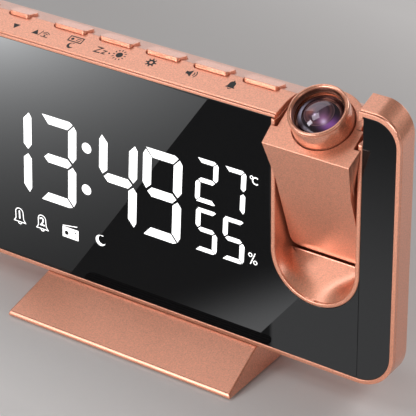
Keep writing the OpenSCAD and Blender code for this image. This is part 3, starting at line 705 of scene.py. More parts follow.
class Bench:
    """Modelling steps that every piece uses."""

    @staticmethod
    def clear() -> None:
        """Goes to object mode with nothing selected."""
        if bpy.context.object and bpy.context.object.mode != "OBJECT":
            bpy.ops.object.mode_set(mode="OBJECT")
        bpy.ops.object.select_all(action="DESELECT")

    @staticmethod
    def only(piece: bpy.types.Object) -> None:
        """Makes one piece selected and active.

        Args:
            piece: the piece.
        """
        Bench.clear()
        piece.select_set(True)
        bpy.context.view_layer.objects.active = piece

    @staticmethod
    def settle(piece: bpy.types.Object, name: str) -> bpy.types.Object:
        """Names a piece and puts its place into its mesh.

        Args:
            piece: the piece.
            name: its new name.

        Returns:
            The same piece.
        """
        Bench.only(piece)
        bpy.ops.object.transform_apply(location=True, rotation=True, scale=True)
        piece.name = name
        piece.data.name = name
        return piece

    @staticmethod
    def apply_all(piece: bpy.types.Object) -> None:
        """Applies every modifier of a piece in order.

        Args:
            piece: the piece.
        """
        Bench.only(piece)
        for modifier in list(piece.modifiers):
            bpy.ops.object.modifier_apply(modifier=modifier.name)

    @staticmethod
    def smooth(piece: bpy.types.Object, angle: float) -> None:
        """Shades a piece smooth up to an angle in degrees."""
        Bench.only(piece)
        bpy.ops.object.shade_smooth_by_angle(angle=math.radians(angle))

    @staticmethod
    def dress(piece: bpy.types.Object, finish: Finish) -> None:
        """Gives a piece one finish."""
        piece.data.materials.clear()
        piece.data.materials.append(finish.material())

    @staticmethod
    def weigh(piece: bpy.types.Object, share: Weight) -> None:
        """Gives each sharp edge of a piece its share of the rounding.

        Args:
            piece: the piece.
            share: takes an edge's middle in millimetres and its two faces' normals.
        """
        mesh = piece.data
        sides: dict = {}
        for face in mesh.polygons:
            for key in face.edge_keys:
                sides.setdefault(key, []).append(face.normal.copy())
        weights = mesh.attributes.new("bevel_weight_edge", "FLOAT", "EDGE")
        for edge in mesh.edges:
            pair = sides.get(edge.key, [])
            if len(pair) == 2 and pair[0].angle(pair[1], 0.0) > math.radians(SHARP_ANGLE):
                a, b = (mesh.vertices[k].co for k in edge.vertices)
                weights.data[edge.index].value = share(on_clock((a + b) / 2.0), *pair)

    @staticmethod
    def round_edges(piece: bpy.types.Object, width: float, segments: int, share: Optional[Weight]) -> None:
        """Rounds the sharp edges of a piece and evens its normals.

        Args:
            piece: the piece.
            width: the rounding in millimetres.
            segments: faces across the rounding.
            share: the share of the rounding that each edge gets, if it differs.
        """
        bevel = piece.modifiers.new("rounding", "BEVEL")
        if share:
            Bench.weigh(piece, share)
            bevel.limit_method = "WEIGHT"
        else:
            bevel.limit_method = "ANGLE"
            bevel.angle_limit = math.radians(SHARP_ANGLE)
        bevel.width = mm(width)
        bevel.segments = segments
        bevel.use_clamp_overlap = False
        bevel.miter_outer = "MITER_ARC"
        Bench.apply_all(piece)
        Bench.smooth(piece, 35.0)
        even = piece.modifiers.new("even", "WEIGHTED_NORMAL")
        even.keep_sharp = True
        even.weight = 100
        Bench.apply_all(piece)

    @staticmethod
    def start_edit(piece: bpy.types.Object) -> None:
        """Opens a piece for editing, with all of it selected.

        Args:
            piece: the piece.
        """
        Bench.only(piece)
        bpy.ops.object.mode_set(mode="EDIT")
        bpy.ops.mesh.select_all(action="SELECT")

    @staticmethod
    def end_edit(outwards: bool = False) -> None:
        """Ends the editing, with nothing selected.

        Args:
            outwards: whether the faces are first turned to point outwards.
        """
        if outwards:
            bpy.ops.mesh.select_all(action="SELECT")
            bpy.ops.mesh.normals_make_consistent(inside=False)
        bpy.ops.mesh.select_all(action="DESELECT")
        bpy.ops.object.mode_set(mode="OBJECT")

    @staticmethod
    def merge(piece: bpy.types.Object, flat: float = 1.0) -> None:
        """Merges a piece's doubled points and its level faces.

        Args:
            piece: the piece.
            flat: faces within this many degrees of each other are level.
        """
        Bench.start_edit(piece)
        bpy.ops.mesh.remove_doubles(threshold=mm(0.002))
        bpy.ops.mesh.dissolve_limited(angle_limit=math.radians(flat))
        Bench.end_edit()

    @staticmethod
    def copy_of(node: str) -> bpy.types.Object:
        """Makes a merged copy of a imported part.

        Args:
            node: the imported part.

        Returns:
            The copy, with its own mesh.
        """
        source = STATE.nodes[node]
        piece = source.copy()
        piece.data = source.data.copy()
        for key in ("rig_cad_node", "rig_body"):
            if key in piece:
                del piece[key]
        piece.parent = None
        bpy.context.scene.collection.objects.link(piece)
        Bench.merge(piece)
        return piece

    @staticmethod
    def move_points(piece: bpy.types.Object, chosen: Callable[[Vector], bool],
                    shift: Sequence[float]) -> None:
        """Moves the points of a piece that a test on their place picks.

        Args:
            piece: the piece.
            chosen: takes a point in millimetres on the clock.
            shift: the move in millimetres.
        """
        Bench.only(piece)
        for vertex in piece.data.vertices:
            vertex.select = chosen(on_clock(vertex.co))
        for part in (*piece.data.edges, *piece.data.polygons):
            part.select = False
        bpy.ops.object.mode_set(mode="EDIT")
        bpy.ops.mesh.select_mode(type="VERT")
        bpy.ops.transform.translate(value=tuple(mm(c) for c in shift))
        Bench.end_edit()

    @staticmethod
    def unite(piece: bpy.types.Object, others: Sequence[bpy.types.Object]) -> None:
        """Makes one solid of a piece and others.

        Args:
            piece: the piece, which becomes the solid.
            others: the others, which are used up.
        """
        for other in others:
            union = piece.modifiers.new("union", "BOOLEAN")
            union.operation = "UNION"
            union.solver = "EXACT"
            union.object = other
            Bench.apply_all(piece)
            bpy.data.objects.remove(other)
        Bench.merge(piece, 0.5)

    @staticmethod
    def cut(piece: bpy.types.Object, place: Vector, outwards: Triple) -> None:
        """Cuts off what lies outside a plane and closes the cut.

        Args:
            piece: the piece.
            place: a point of the plane, in metres.
            outwards: the plane's direction.
        """
        Bench.start_edit(piece)
        bpy.ops.mesh.bisect(plane_co=place, plane_no=outwards, use_fill=True, clear_outer=True)
        Bench.end_edit()

    @staticmethod
    def finish(piece: bpy.types.Object, finish: Finish, *nodes: str, width: float, segments: int = 3,
               share: Optional[Weight] = None) -> bpy.types.Object:
        """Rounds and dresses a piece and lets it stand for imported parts.

        Args:
            piece: the piece.
            finish: its finish.
            nodes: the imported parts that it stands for.
            width: the rounding in millimetres.
            segments: faces across the rounding.
            share: the share of the rounding that each edge gets, if it differs.

        Returns:
            The piece.
        """
        Bench.round_edges(piece, width, segments, share)
        Bench.settle(piece, nodes[0] + "_looks")
        Bench.dress(piece, finish)
        return Bench.fit(piece, STATE.body_of[nodes[0]], *nodes)

    @staticmethod
    def soften(node: str, finish: Finish, width: float, segments: int = 3,
               share: Optional[Weight] = None) -> bpy.types.Object:
        """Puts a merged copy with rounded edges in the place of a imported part.

        Args:
            node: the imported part.
            finish: its finish.
            width: the rounding in millimetres.
            segments: faces across the rounding.
            share: the share of the rounding that each edge gets, if it differs.

        Returns:
            The copy, which stands for the part.
        """
        return Bench.finish(Bench.copy_of(node), finish, node, width=width, segments=segments, share=share)

    @staticmethod
    def fit(piece: bpy.types.Object, body: str, *nodes: str) -> bpy.types.Object:
        """Lets a piece ride on a body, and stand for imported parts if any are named.

        Args:
            piece: the piece.
            body: the body that carries it.
            nodes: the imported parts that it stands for.

        Returns:
            The piece.
        """
        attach(piece, body)
        if nodes:
            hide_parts(*nodes)
        LOG.info("%s rides on %s", piece.name, body)
        return piece

    @staticmethod
    def flat(outline: Sequence[Pair], plane: Matrix, thick: float) -> bpy.types.Object:
        """Makes a thin plate of a closed outline.

        Args:
            outline: points in millimetres on the plane, in order.
            plane: the plane's place, in metres; its Z points out of the surface.
            thick: the plate's thickness in millimetres.

        Returns:
            The plate, with its place in its mesh.
        """
        Bench.clear()
        bpy.ops.mesh.primitive_circle_add(vertices=len(outline), fill_type="NGON", radius=1.0)
        piece = bpy.context.object
        area = sum(a[0] * b[1] - b[0] * a[1] for a, b in zip(outline, [*outline[1:], outline[0]]))
        points = list(outline) if area > 0 else list(reversed(outline))
        for vertex, (u, v) in zip(piece.data.vertices, points):
            vertex.co = (mm(u), mm(v), 0.0)
        Bench.start_edit(piece)
        bpy.ops.mesh.extrude_region_move(TRANSFORM_OT_translate={"value": (0.0, 0.0, mm(thick))})
        Bench.end_edit(outwards=True)
        piece.matrix_world = plane
        return Bench.settle(piece, "plate")

    @staticmethod
    def join(pieces: Sequence[bpy.types.Object], name: str, finish: Finish) -> bpy.types.Object:
        """Joins pieces into one, names it and dresses it.

        Args:
            pieces: the pieces, which are used up.
            name: the whole's name.
            finish: its finish.

        Returns:
            The whole.
        """
        Bench.clear()
        for piece in pieces:
            piece.select_set(True)
        bpy.context.view_layer.objects.active = pieces[0]
        if len(pieces) > 1:
            bpy.ops.object.join()
        whole = Bench.settle(bpy.context.object, name)
        Bench.dress(whole, finish)
        return whole

    @staticmethod
    def turned(name: str, profile: Sequence[Pair], plane: Matrix, steps: int,
               finish: Finish) -> bpy.types.Object:
        """Turns a closed profile about the Z axis of a plane.

        Args:
            name: the piece's name.
            profile: (radius, height) points in millimetres; the last ring is joined to the first.
            plane: the axis and its foot, in metres.
            steps: faces around.
            finish: the piece's finish.

        Returns:
            The turned piece.
        """
        Bench.clear()
        radius, height = profile[0]
        bpy.ops.mesh.primitive_circle_add(vertices=steps, radius=mm(radius), fill_type="NOTHING",
                                          location=(0, 0, mm(height)))
        piece = Bench.settle(bpy.context.object, name)
        Bench.start_edit(piece)
        for (r0, z0), (r1, z1) in zip(profile, profile[1:]):
            bpy.ops.mesh.extrude_edges_move(TRANSFORM_OT_translate={"value": (0.0, 0.0, mm(z1 - z0))})
            bpy.ops.transform.resize(value=(r1 / r0, r1 / r0, 1.0), center_override=(0.0, 0.0, mm(z1)))
        bpy.ops.mesh.select_all(action="DESELECT")
        bpy.ops.mesh.select_non_manifold(extend=False, use_wire=True, use_boundary=True,
                                         use_multi_face=False, use_non_contiguous=False, use_verts=False)
        bpy.ops.mesh.bridge_edge_loops()
        bpy.ops.mesh.select_all(action="SELECT")
        bpy.ops.mesh.remove_doubles(threshold=mm(0.0005))
        Bench.end_edit(outwards=True)
        piece.matrix_world = plane
        Bench.settle(piece, name)
        Bench.smooth(piece, 30.0)
        Bench.dress(piece, finish)
        return piece


@dataclass
class State:
    """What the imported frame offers: its parts by name, and the body that carries each."""

    nodes: dict = field(default_factory=dict)
    body_of: dict = field(default_factory=dict)

    def load(self) -> None:
        """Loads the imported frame."""
        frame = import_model()
        self.nodes = frame["nodes"]
        groups = frame["record"]["behaviour"]["bodies"]
        self.body_of = {node: body for body, members in groups.items() for node in members}


STATE = State()


# ---- drawing on flat surfaces --------------------------------------------


def spoke(radius: float, angle: float) -> Pair:
    """A point at a radius and an angle in degrees about the middle."""
    return (radius * math.cos(math.radians(angle)), radius * math.sin(math.radians(angle)))


def moved(outline: Sequence[Pair], dx: float, dy: float) -> list[Pair]:
    """An outline that is moved."""
    return [(x + dx, y + dy) for x, y in outline]


def arc(x: float, y: float, radius: float, start: float, end: float, steps: int = 12) -> list[Pair]:
    """Points of an arc.

    Args:
        x: the middle, across.
        y: the middle, upwards.
        radius: the arc's radius.
        start: angle of the first point in degrees.
        end: angle of the last point.
        steps: how many stretches the arc has.

    Returns:
        The points, one more than the stretches.
    """
    return moved([spoke(radius, start + (end - start) * k / steps) for k in range(steps + 1)], x, y)


def disc(x: float, y: float, radius: float, steps: int = 24) -> list[Pair]:
    """Outline of a round dot, as an arc without its last point."""
    return arc(x, y, radius, 0.0, 360.0, steps)[:-1]


def mirrored(half: Sequence[Pair]) -> list[Pair]:
    """Outline of a shape that is alike on both sides, from its right half, top point first."""
    return [*half, *[(-u, v) for u, v in reversed(half)]][:-1]


def crescent(large: float, small: float, shift: Pair, steps: tuple[int, int]) -> list[Pair]:
    """Outline of a crescent that opens to the upper right.

    Args:
        large: radius of its outer side, about the middle.
        small: radius of its inner side.
        shift: the inner side's middle.
        steps: stretches of the outer and of the inner side.

    Returns:
        The outline's points.
    """
    return [*arc(0, 0, large, 60, 330, steps[0]), *arc(*shift, small, 318, 72, steps[1])]


def bar(a: Pair, b: Pair, width: float) -> list[Pair]:
    """Outline of a straight stroke.

    Args:
        a: one end.
        b: the other end.
        width: the stroke's width.

    Returns:
        The outline's four points.
    """
    dx, dy = b[0] - a[0], b[1] - a[1]
    length = math.hypot(dx, dy)
    nx, ny = -dy / length * width / 2, dx / length * width / 2
    return [(a[0] + nx, a[1] + ny), (a[0] - nx, a[1] - ny), (b[0] - nx, b[1] - ny), (b[0] + nx, b[1] + ny)]


def chain(points: Sequence[Pair], width: float, closed: bool = False) -> list[Pair]:
    """Outline of a stroke through several points, with mitred corners.

    Args:
        points: the stroke's middle line.
        width: its width.
        closed: whether it returns to its start; the outline then has a slit at the start.

    Returns:
        The outline's points.
    """
    line = [Vector(p) for p in points]
    if closed:
        line.append(line[0].copy())
    left, right = [], []
    for k, p in enumerate(line):
        before = line[k - 1] if k else (line[-2] if closed else None)
        after = line[k + 1] if k + 1 < len(line) else (line[1] if closed else None)
        d1 = (p - before).normalized() if before is not None else (after - p).normalized()
        d2 = (after - p).normalized() if after is not None else d1
        side = Vector((-d1.y, d1.x))
        n = (side + Vector((-d2.y, d2.x))).normalized()
        reach = width / 2 / max(0.35, n.dot(side))
        left.append(tuple(p + n * reach))
        right.append(tuple(p - n * reach))
    return left + right[::-1]


# ---- the display ---------------------------------------------------------


@dataclass
class Display:
    """Mirror panel with its lit digits and symbols.

    Places on the panel are in millimetres across from the clock's middle and up from the table. A
    round sign is its middle and its radius, and the segments are drawn in an upright cell.
    """

    front: float = 0.2
    gap: float = 0.02
    thick: float = 0.05
    top: float = 90.09
    rounding: float = 0.12
    slant: float = 0.06
    cell: Pair = (14.8, 31.7)
    base: float = 35.8
    lefts: tuple = (-61.0, -42.9, -19.0, -2.05)
    colon: tuple = ((-22.55, 60.1), (-23.4, 44.85))
    colon_radius: float = 1.85
    small_cell: Pair = (8.15, 15.4)
    rows: Pair = (54.2, 36.7)
    small_lefts: tuple = ((18.85, 28.9), (18.4, 28.5))
    degree: Triple = (39.75, 68.45, 0.5)
    celsius: Triple = (41.25, 67.55, 1.15)
    percent: tuple = ((39.15, 41.35, 0.62), (40.95, 39.0, 0.62))
    percent_slash: tuple = ((39.15, 38.1), (40.95, 42.3))
    bells: tuple = (("1", -52.2, 26.3), ("2", -42.7, 26.6))
    number_size: float = 4.3
    number_swell: float = 0.06
    radio: Pair = (-34.3, 24.25)
    moon: Pair = (-18.6, 27.6)
    stroke: float = 0.3

    SEGMENTS = {
        "a": [(1.1, 31.7), (12.0, 31.7), (13.3, 30.9), (11.3, 28.6), (3.6, 28.6)],
        "b": [(13.75, 30.5), (14.8, 29.0), (14.8, 19.0), (13.4, 17.05), (11.6, 18.8), (11.6, 28.1)],
        "c": [(13.4, 15.4), (14.8, 13.7), (14.8, 2.7), (13.9, 0.95), (11.6, 3.6), (11.6, 13.8)],
        "d": [(0.9, 0.15), (3.5, 3.2), (11.2, 3.2), (13.45, 0.55), (12.2, 0.0), (1.2, 0.0)],
        "e": [(1.4, 15.4), (0.0, 13.7), (0.0, 2.7), (0.9, 0.95), (3.2, 3.6), (3.2, 13.8)],
        "f": [(1.0, 31.0), (0.0, 29.2), (0.0, 19.0), (1.4, 17.05), (3.2, 18.8), (3.2, 28.6)],
        "g": [(1.9, 16.2), (3.5, 17.8), (11.3, 17.8), (12.9, 16.2), (11.4, 14.55), (3.5, 14.55)],
    }
    DIGITS = {"1": "bc", "2": "abged", "3": "abgcd", "4": "fgbc", "5": "afgcd", "7": "abc", "9": "afgbcd"}

    def plane(self) -> Matrix:
        """A plane just behind the panel's front face, with its Z towards the viewer."""
        turn = Matrix(((1, 0, 0), (0, 0, -1), (0, 1, 0))).to_4x4()
        return Matrix.Translation(at(0.0, self.front + self.gap, 0.0)) @ turn

    def plates(self, outlines: Iterable[Sequence[Pair]], name: str, finish: Finish = Finish.LIT) -> None:
        """Puts a group of outlines on the panel as one piece.

        Args:
            outlines: the outlines on the panel, in millimetres.
            name: the piece's name.
            finish: its finish.
        """
        pieces = [Bench.flat(outline, self.plane(), self.thick) for outline in outlines]
        Bench.fit(Bench.join(pieces, name, finish), "clock")

    def digit(self, figure: str, left: float, base: float, cell: Pair) -> list[list[Pair]]:
        """Outlines of one seven-segment figure.

        Args:
            figure: the figure that is lit.
            left: the cell's left edge on the panel.
            base: the cell's lower edge.
            cell: width and height of the cell.

        Returns:
            One outline for each lit segment.
        """
        w, h = cell[0] / self.cell[0], cell[1] / self.cell[1]
        return [[(left + u * w + self.slant * v * h, base + v * h) for u, v in self.SEGMENTS[letter]]
                for letter in self.DIGITS[figure]]

    def build_digits(self) -> None:
        """Builds the time, the temperature and the humidity."""
        for k, (figure, left) in enumerate(zip("1349", self.lefts)):
            self.plates(self.digit(figure, left, self.base, self.cell), f"time_digit_{k + 1}")
        self.plates([disc(*dot, self.colon_radius, 32) for dot in self.colon], "time_colon")
        for row, (figures, base, lefts) in enumerate(zip(("27", "55"), self.rows, self.small_lefts)):
            for k, (figure, left) in enumerate(zip(figures, lefts)):
                self.plates(self.digit(figure, left, base, self.small_cell), f"small_digit_{row + 1}{k + 1}")

    def build_units(self) -> None:
        """Builds the degree and per cent signs."""
        ring = chain(arc(*self.degree, 0, 330, 14), 0.24, True)
        letter = chain(arc(*self.celsius, 50, 310, 16), 0.42)
        self.plates([ring, letter], "sign_degree")
        rings = [chain(arc(*place, 0, 335, 14), self.stroke, True) for place in self.percent]
        self.plates([*rings, bar(*self.percent_slash, 0.34)], "sign_percent")

    def bell(self, number: str, x: float, z: float) -> None:
        """Builds an outlined bell with a number in it.

        Args:
            number: the number.
            x: the bell's middle, across.
            z: the bell's middle, upwards.
        """
        dome = mirrored([*arc(0, 1.2, 1.55, 90, 0, 8), (1.6, -1.2), (2.4, -2.4)])
        clapper = arc(0, -2.45, 0.75, 200, 340, 8)
        self.plates([chain(moved(dome, x, z), self.stroke, True), chain(moved(clapper, x, z), self.stroke)],
                    f"alarm_bell_{number}")
        self.number(number, x, z + 0.15)

    def number(self, number: str, x: float, z: float) -> None:
        """Writes the number of an alarm.

        Args:
            number: the number.
            x: its middle, across.
            z: its middle, upwards.
        """
        Bench.clear()
        bpy.ops.object.text_add()
        text = bpy.context.object
        text.data.body = number
        text.data.size = mm(self.number_size)
        text.data.align_x = "CENTER"
        text.data.align_y = "CENTER"
        text.data.extrude = mm(self.thick) / 2.0
        text.data.offset = mm(self.number_swell)
        bpy.ops.object.convert(target="MESH")
        text.matrix_world = self.plane() @ Matrix.Translation((mm(x), mm(z), mm(self.gap)))
        Bench.settle(text, f"alarm_number_{number}")
        Bench.dress(text, Finish.LIT)
        Bench.fit(text, "clock")

    def build_symbols(self) -> None:
        """Builds the two alarm bells, the radio and the sleep moon."""
        for bell in self.bells:
            self.bell(*bell)
        box = [(0.0, 0.0), (6.5, 0.0), (6.7, 3.9), (0.2, 3.9)]
        aerial = bar((0.3, 4.2), (6.3, 5.2), self.stroke)
        self.plates([moved(shape, *self.radio) for shape in (box, aerial)], "radio_body")
        holes = [disc(1.75, 1.75, 0.8), disc(5.5, 2.6, 0.3, 12), disc(5.45, 0.9, 0.3, 12),
                 bar((0.7, 3.25), (6.0, 3.25), 0.22)]
        nearer = Display(front=self.front - self.gap)
        nearer.plates([moved(hole, *self.radio) for hole in holes], "radio_holes", Finish.VOID)
        self.plates([moved(crescent(2.0, 1.62, (0.75, 0.45), (22, 18)), *self.moon)], "sleep_moon")

    def build(self) -> None:
        """Builds the panel and everything lit on it."""
        panel = Bench.copy_of("display_lens")
        Bench.move_points(panel, lambda q: q.z > self.top, (0.0, 0.0, Case.thin_rim))
        Bench.finish(panel, Finish.PANEL, "display_lens", width=self.rounding)
        Bench.soften("side_strip", Finish.STRIP, self.rounding)
        self.build_digits()
        self.build_units()
        self.build_symbols()


# ---- the case ------------------------------------------------------------


@dataclass
class Case:
    """Frame, housing, rear cover and foot.

    The mouth and the back are (half width, lowest z, highest z), the ridge is (y, lowest z), the well is
    (x, z, radius), and the ramp is (z, y) at the scoop's lip and (z, y) at the ramp's rear end.
    """

    band_slope: float = 16.0
    band_z: float = 91.6
    label_rise: float = 0.012
    mouth: Triple = (88.6, 10.3, 90.3)
    mouth_y: float = 1.0
    ridge: Pair = (10.5, 91.0)
    groove: Pair = (0.69, 0.94)
    rim_x: float = 85.5
    rim_z: Pair = (90.11, 90.3)
    thin_rim: float = 0.5
    back: Triple = (74.0, 15.0, 85.0)
    frame_face: float = 0.05
    well_lip: float = 0.75
    foot_front: float = -17.5
    foot_edges: Pair = (1.5, 1.0)
    crisp: float = 0.3
    frame_rounding: float = 0.18
    housing_rounding: float = 0.45
    cover_rounding: float = 0.3
    cap_rounding: float = 0.2
    foot_rounding: float = 0.7
    well_rounding: float = 0.5
    well: Triple = (62.0, 46.5, 14.0)
    ramp: tuple = (32.5, 0.6, 42.5, 9.5)
    scoop_depth: float = 8.0
    scoop_gap: float = 0.03
    scoop_thick: float = 0.2
    squaring: float = 6.0

    def housing_share(self, middle: Vector, one: Vector, two: Vector) -> float:
        """Share of the rounding for an edge of the housing.

        Args:
            middle: the edge's middle.
            one: normal of its first face.
            two: normal of its second face.

        Returns:
            1 for the mouth's outer edge, 0 for the rest of the mouth and about a half elsewhere.
        """
        if middle.y < self.mouth_y:
            outside = max(one.y, two.y) < 0.5 and min(one.y, two.y) < -0.9
            inner = abs(middle.x) < self.mouth[0] and self.mouth[1] < middle.z < self.mouth[2]
            return 1.0 if outside and not inner else 0.0
        on_ridge = abs(middle.y - self.ridge[0]) < 0.05 and middle.z > self.ridge[1]
        return 0.5 if on_ridge else 0.45

    def frame_share(self, middle: Vector, one: Vector, two: Vector) -> float:
        """Share of the rounding for an edge of the front frame: its face's edges are round."""
        return 1.0 if middle.y < self.frame_face else self.crisp

    def well_share(self, middle: Vector, one: Vector, two: Vector) -> float:
        """Share of the rounding for an edge of the well: only its lip is round."""
        return 1.0 if middle.y < self.well_lip else self.crisp

    def cover_share(self, middle: Vector, one: Vector, two: Vector) -> float:
        """Share of the rounding for an edge of the rear cover.

        Args:
            middle: the edge's middle.
            one: normal of its first face.
            two: normal of its second face.

        Returns:
            0 on the back and round its holes, which stay crisp, and 1 elsewhere.
        """
        inside = abs(middle.x) < self.back[0] and self.back[1] < middle.z < self.back[2]
        hole = max(abs(one.y), abs(two.y)) > 0.95 and min(abs(one.y), abs(two.y)) < 0.05
        return 0.0 if inside or hole else 1.0

    def foot_share(self, middle: Vector, one: Vector, two: Vector) -> float:
        """Share of the rounding for an edge of the foot.

        Args:
            middle: the edge's middle.
            one: normal of its first face; not used.
            two: normal of its second face; not used.

        Returns:
            1 along the front's upper edge and less elsewhere, least on the table.
        """
        if middle.y < self.foot_front and middle.z > self.foot_edges[0]:
            return 1.0
        return 0.5 if middle.z > self.foot_edges[1] else self.crisp

    def paint_groove_shade(self, frame: bpy.types.Object) -> None:
        """Paints shade as black on the narrow step between the front frame and the housing.

        Args:
            frame: the frame's finished piece.
        """
        # Painted shade: the step's side faces take a near-black finish that stands in for the shade in the
        # step.
        frame.data.materials.append(Finish.VOID.material())
        for face in frame.data.polygons:
            if self.groove[0] < on_clock(face.center).y < self.groove[1] and abs(face.normal.y) < 0.5:
                face.material_index = 1

    def in_rim(self, point: Vector) -> bool:
        """Whether a point lies on the inner edge of the frame's upper side."""
        return abs(point.x) < self.rim_x and self.rim_z[0] < point.z < self.rim_z[1]

    def build_shells(self) -> None:
        """Builds the painted shells; the frame's upper side is thinned from within."""
        frame = Bench.copy_of("front_frame")
        Bench.move_points(frame, self.in_rim, (0.0, 0.0, self.thin_rim))
        Bench.finish(frame, Finish.FRAME, "front_frame", width=self.frame_rounding, share=self.frame_share)
        self.paint_groove_shade(frame)
        Bench.soften("housing", Finish.SHELL, self.housing_rounding, 4, self.housing_share)
        Bench.soften("rear_cover", Finish.SHELL, self.cover_rounding, share=self.cover_share)
        foot = Bench.soften("foot", Finish.SHELL, self.foot_rounding, 4, self.foot_share)
        foot.visible_glossy = False  # the panel doesn't mirror the foot
        Bench.soften("battery_cap", Finish.SHELL, self.cap_rounding)
        Bench.soften("projector_well", Finish.SHELL, self.well_rounding, share=self.well_share)

    def scoop_point(self, angle: float, depth: float) -> Triple:
        """A point of the scoop, a round bottom that squares up towards the arm.

        Args:
            angle: direction from the well's middle in degrees, -90 at the bottom.
            depth: share of the scoop's depth, 0 at the lip.

        Returns:
            The point in millimetres on the clock.
        """
        x0, z0, radius = self.well
        z1, y1, z2, y2 = self.ramp
        c, sn = math.cos(math.radians(angle)), abs(math.sin(math.radians(angle)))
        power = 2.0 / (2.0 + self.squaring * depth ** 3)
        back = depth * self.scoop_depth
        x = x0 + math.copysign((radius - self.scoop_gap) * abs(c) ** power, c)
        z = z0 - radius * sn ** power + back * (z2 - z1) / (y2 - y1)
        return (x, y1 + back - self.scoop_gap, z)

    def build_scoop(self) -> None:
        """Builds the hollow below the arm's foot as one rounded sheet, from side to side."""
        around, along = 120, 28
        left, right = -179.9, -0.1
        Bench.clear()
        bpy.ops.mesh.primitive_grid_add(x_subdivisions=around, y_subdivisions=along, size=2.0)
        sheet = bpy.context.object
        for vertex in sheet.data.vertices:
            angle = left + (right - left) * (1.0 + vertex.co.x) / 2.0
            vertex.co = at(*self.scoop_point(angle, (1.0 + vertex.co.y) / 2.0))
        thick = sheet.modifiers.new("thick", "SOLIDIFY")
        thick.thickness = mm(self.scoop_thick)
        thick.offset = -1.0
        Bench.apply_all(sheet)
        Bench.smooth(sheet, 40.0)
        Bench.settle(sheet, "well_scoop")
        Bench.dress(sheet, Finish.SHELL)
        Bench.fit(sheet, "clock")

    def band(self, x: float, y: float) -> Matrix:
        """A place on the sloping band, with Z out of it."""
        rise = y * math.tan(math.radians(self.band_slope))
        return Matrix.Translation(at(x, y, self.band_z + rise)) @ leaning(self.band_slope)

    def label(self, name: str, x: float, y: float, *outlines: Sequence[Pair]) -> None:
        """Prints one symbol on the band.

        Args:
            name: the symbol's name.
            x: the symbol's middle.
            y: how far behind the panel it lies.
            outlines: its shapes in millimetres about that point.
        """
        pieces = [Bench.flat(outline, self.band(x, y), self.label_rise) for outline in outlines]
        Bench.fit(Bench.join(pieces, "label_" + name, Finish.INK), "clock")

    def label_arrows(self) -> None:
        """Prints the two arrows and the touch sign."""
        self.label("down", -52.5, 4.9, [(-1.3, 1.0), (1.3, 1.0), (0.0, -1.15)])
        slash = bar((1.5, -1.3), (2.2, 1.3), 0.3)
        self.label("up", -44.3, 5.0, [(-1.3, -1.0), (1.3, -1.0), (0.0, 1.15)], slash)
        waves = [chain(arc(0, -0.6, radius, 35, 145, 8), 0.28) for radius in (0.85, 1.5)]
        self.label("touch", -40.5, 5.0, disc(0, -0.7, 0.36, 14), *waves, bar((-1.4, -1.2), (1.4, -1.2), 0.28))

    def label_radio(self) -> None:
        """Prints the radio with the sleep moon under it, and the snooze sign."""
        box = chain([(-2.5, 0.3), (2.5, 0.3), (2.5, 2.5), (-2.5, 2.5)], 0.4, True)
        lines = [bar((0.2, z), (1.9, z), 0.3) for z in (1.05, 1.8)]
        sleep = moved(crescent(1.3, 1.05, (0.5, 0.35), (16, 12)), 0.0, -1.6)
        self.label("radio_sleep", -29.6, 5.1, box, disc(-1.25, 1.4, 0.55, 14), *lines, sleep)
        big = chain([(-1.1, 1.15), (0.95, 1.15), (-1.1, -1.15), (1.1, -1.15)], 0.42)
        small = chain([(1.7, 0.3), (2.9, 0.3), (1.7, -1.1), (3.0, -1.1)], 0.36)
        self.label("snooze", -19.8, 5.1, big, small, disc(4.2, -0.2, 0.34, 12))

    def label_light(self) -> None:
        """Prints the sun and the cog."""
        rays = [bar(spoke(1.7, 30 * k), spoke(2.4, 30 * k), 0.32) for k in range(12)]
        self.label("light", -12.1, 5.4, disc(0, 0, 1.15, 28), *rays)
        tooth = ((-10, 1.3), (-7, 1.9), (7, 1.9), (10, 1.3))
        gear = [spoke(radius, 45 * k + turn) for k in range(8) for turn, radius in tooth]
        hole = arc(0.0, 0.0, 0.6, -10, -370, 20)
        self.label("set", -0.6, 6.1, [*gear, gear[0], *hole])

    def label_sound(self) -> None:
        """Prints the loudspeaker and the bell."""
        horn = [(-1.9, -0.6), (-1.0, -0.6), (0.1, -1.5), (0.1, 1.5), (-1.0, 0.6), (-1.9, 0.6)]
        waves = [chain(arc(0.0, 0.0, radius, -45, 45, 8), 0.34) for radius in (1.05, 1.85)]
        self.label("volume", 14.1, 6.4, horn, *waves)
        dome = mirrored([*arc(0, 0.5, 1.1, 90, 0, 8), (1.15, -0.6), (1.7, -1.25)])
        clapper = chain(arc(0, -1.25, 0.55, 200, 340, 8), 0.3)
        self.label("alarm", 28.6, 6.5, dome, clapper, disc(0, 1.75, 0.28, 10))

    def build(self) -> None:
        """Builds the case."""
        self.build_shells()
        self.build_scoop()
        self.label_arrows()
        self.label_radio()
        self.label_light()
        self.label_sound()


# ---- the keys ------------------------------------------------------------


@dataclass
class Keys:
    """The seven keys on the ridge; each top falls to the rear from a line through one point."""

    names: tuple = ("down", "up", "radio", "dimmer", "set", "volume", "alarm")
    rounding: float = 0.22
    edge: Triple = (0.0, 9.2, 95.6)
    fall: float = 12.5

    def build(self) -> None:
        """Builds each key on its own body, with a top that falls to the rear."""
        a = math.radians(self.fall)
        for name in self.names:
            key = Bench.copy_of("key_" + name)
            Bench.cut(key, at(*self.edge), (0.0, math.sin(a), math.cos(a)))
            Bench.finish(key, Finish.KEYS, "key_" + name, width=self.rounding)


# ---- the projector -------------------------------------------------------


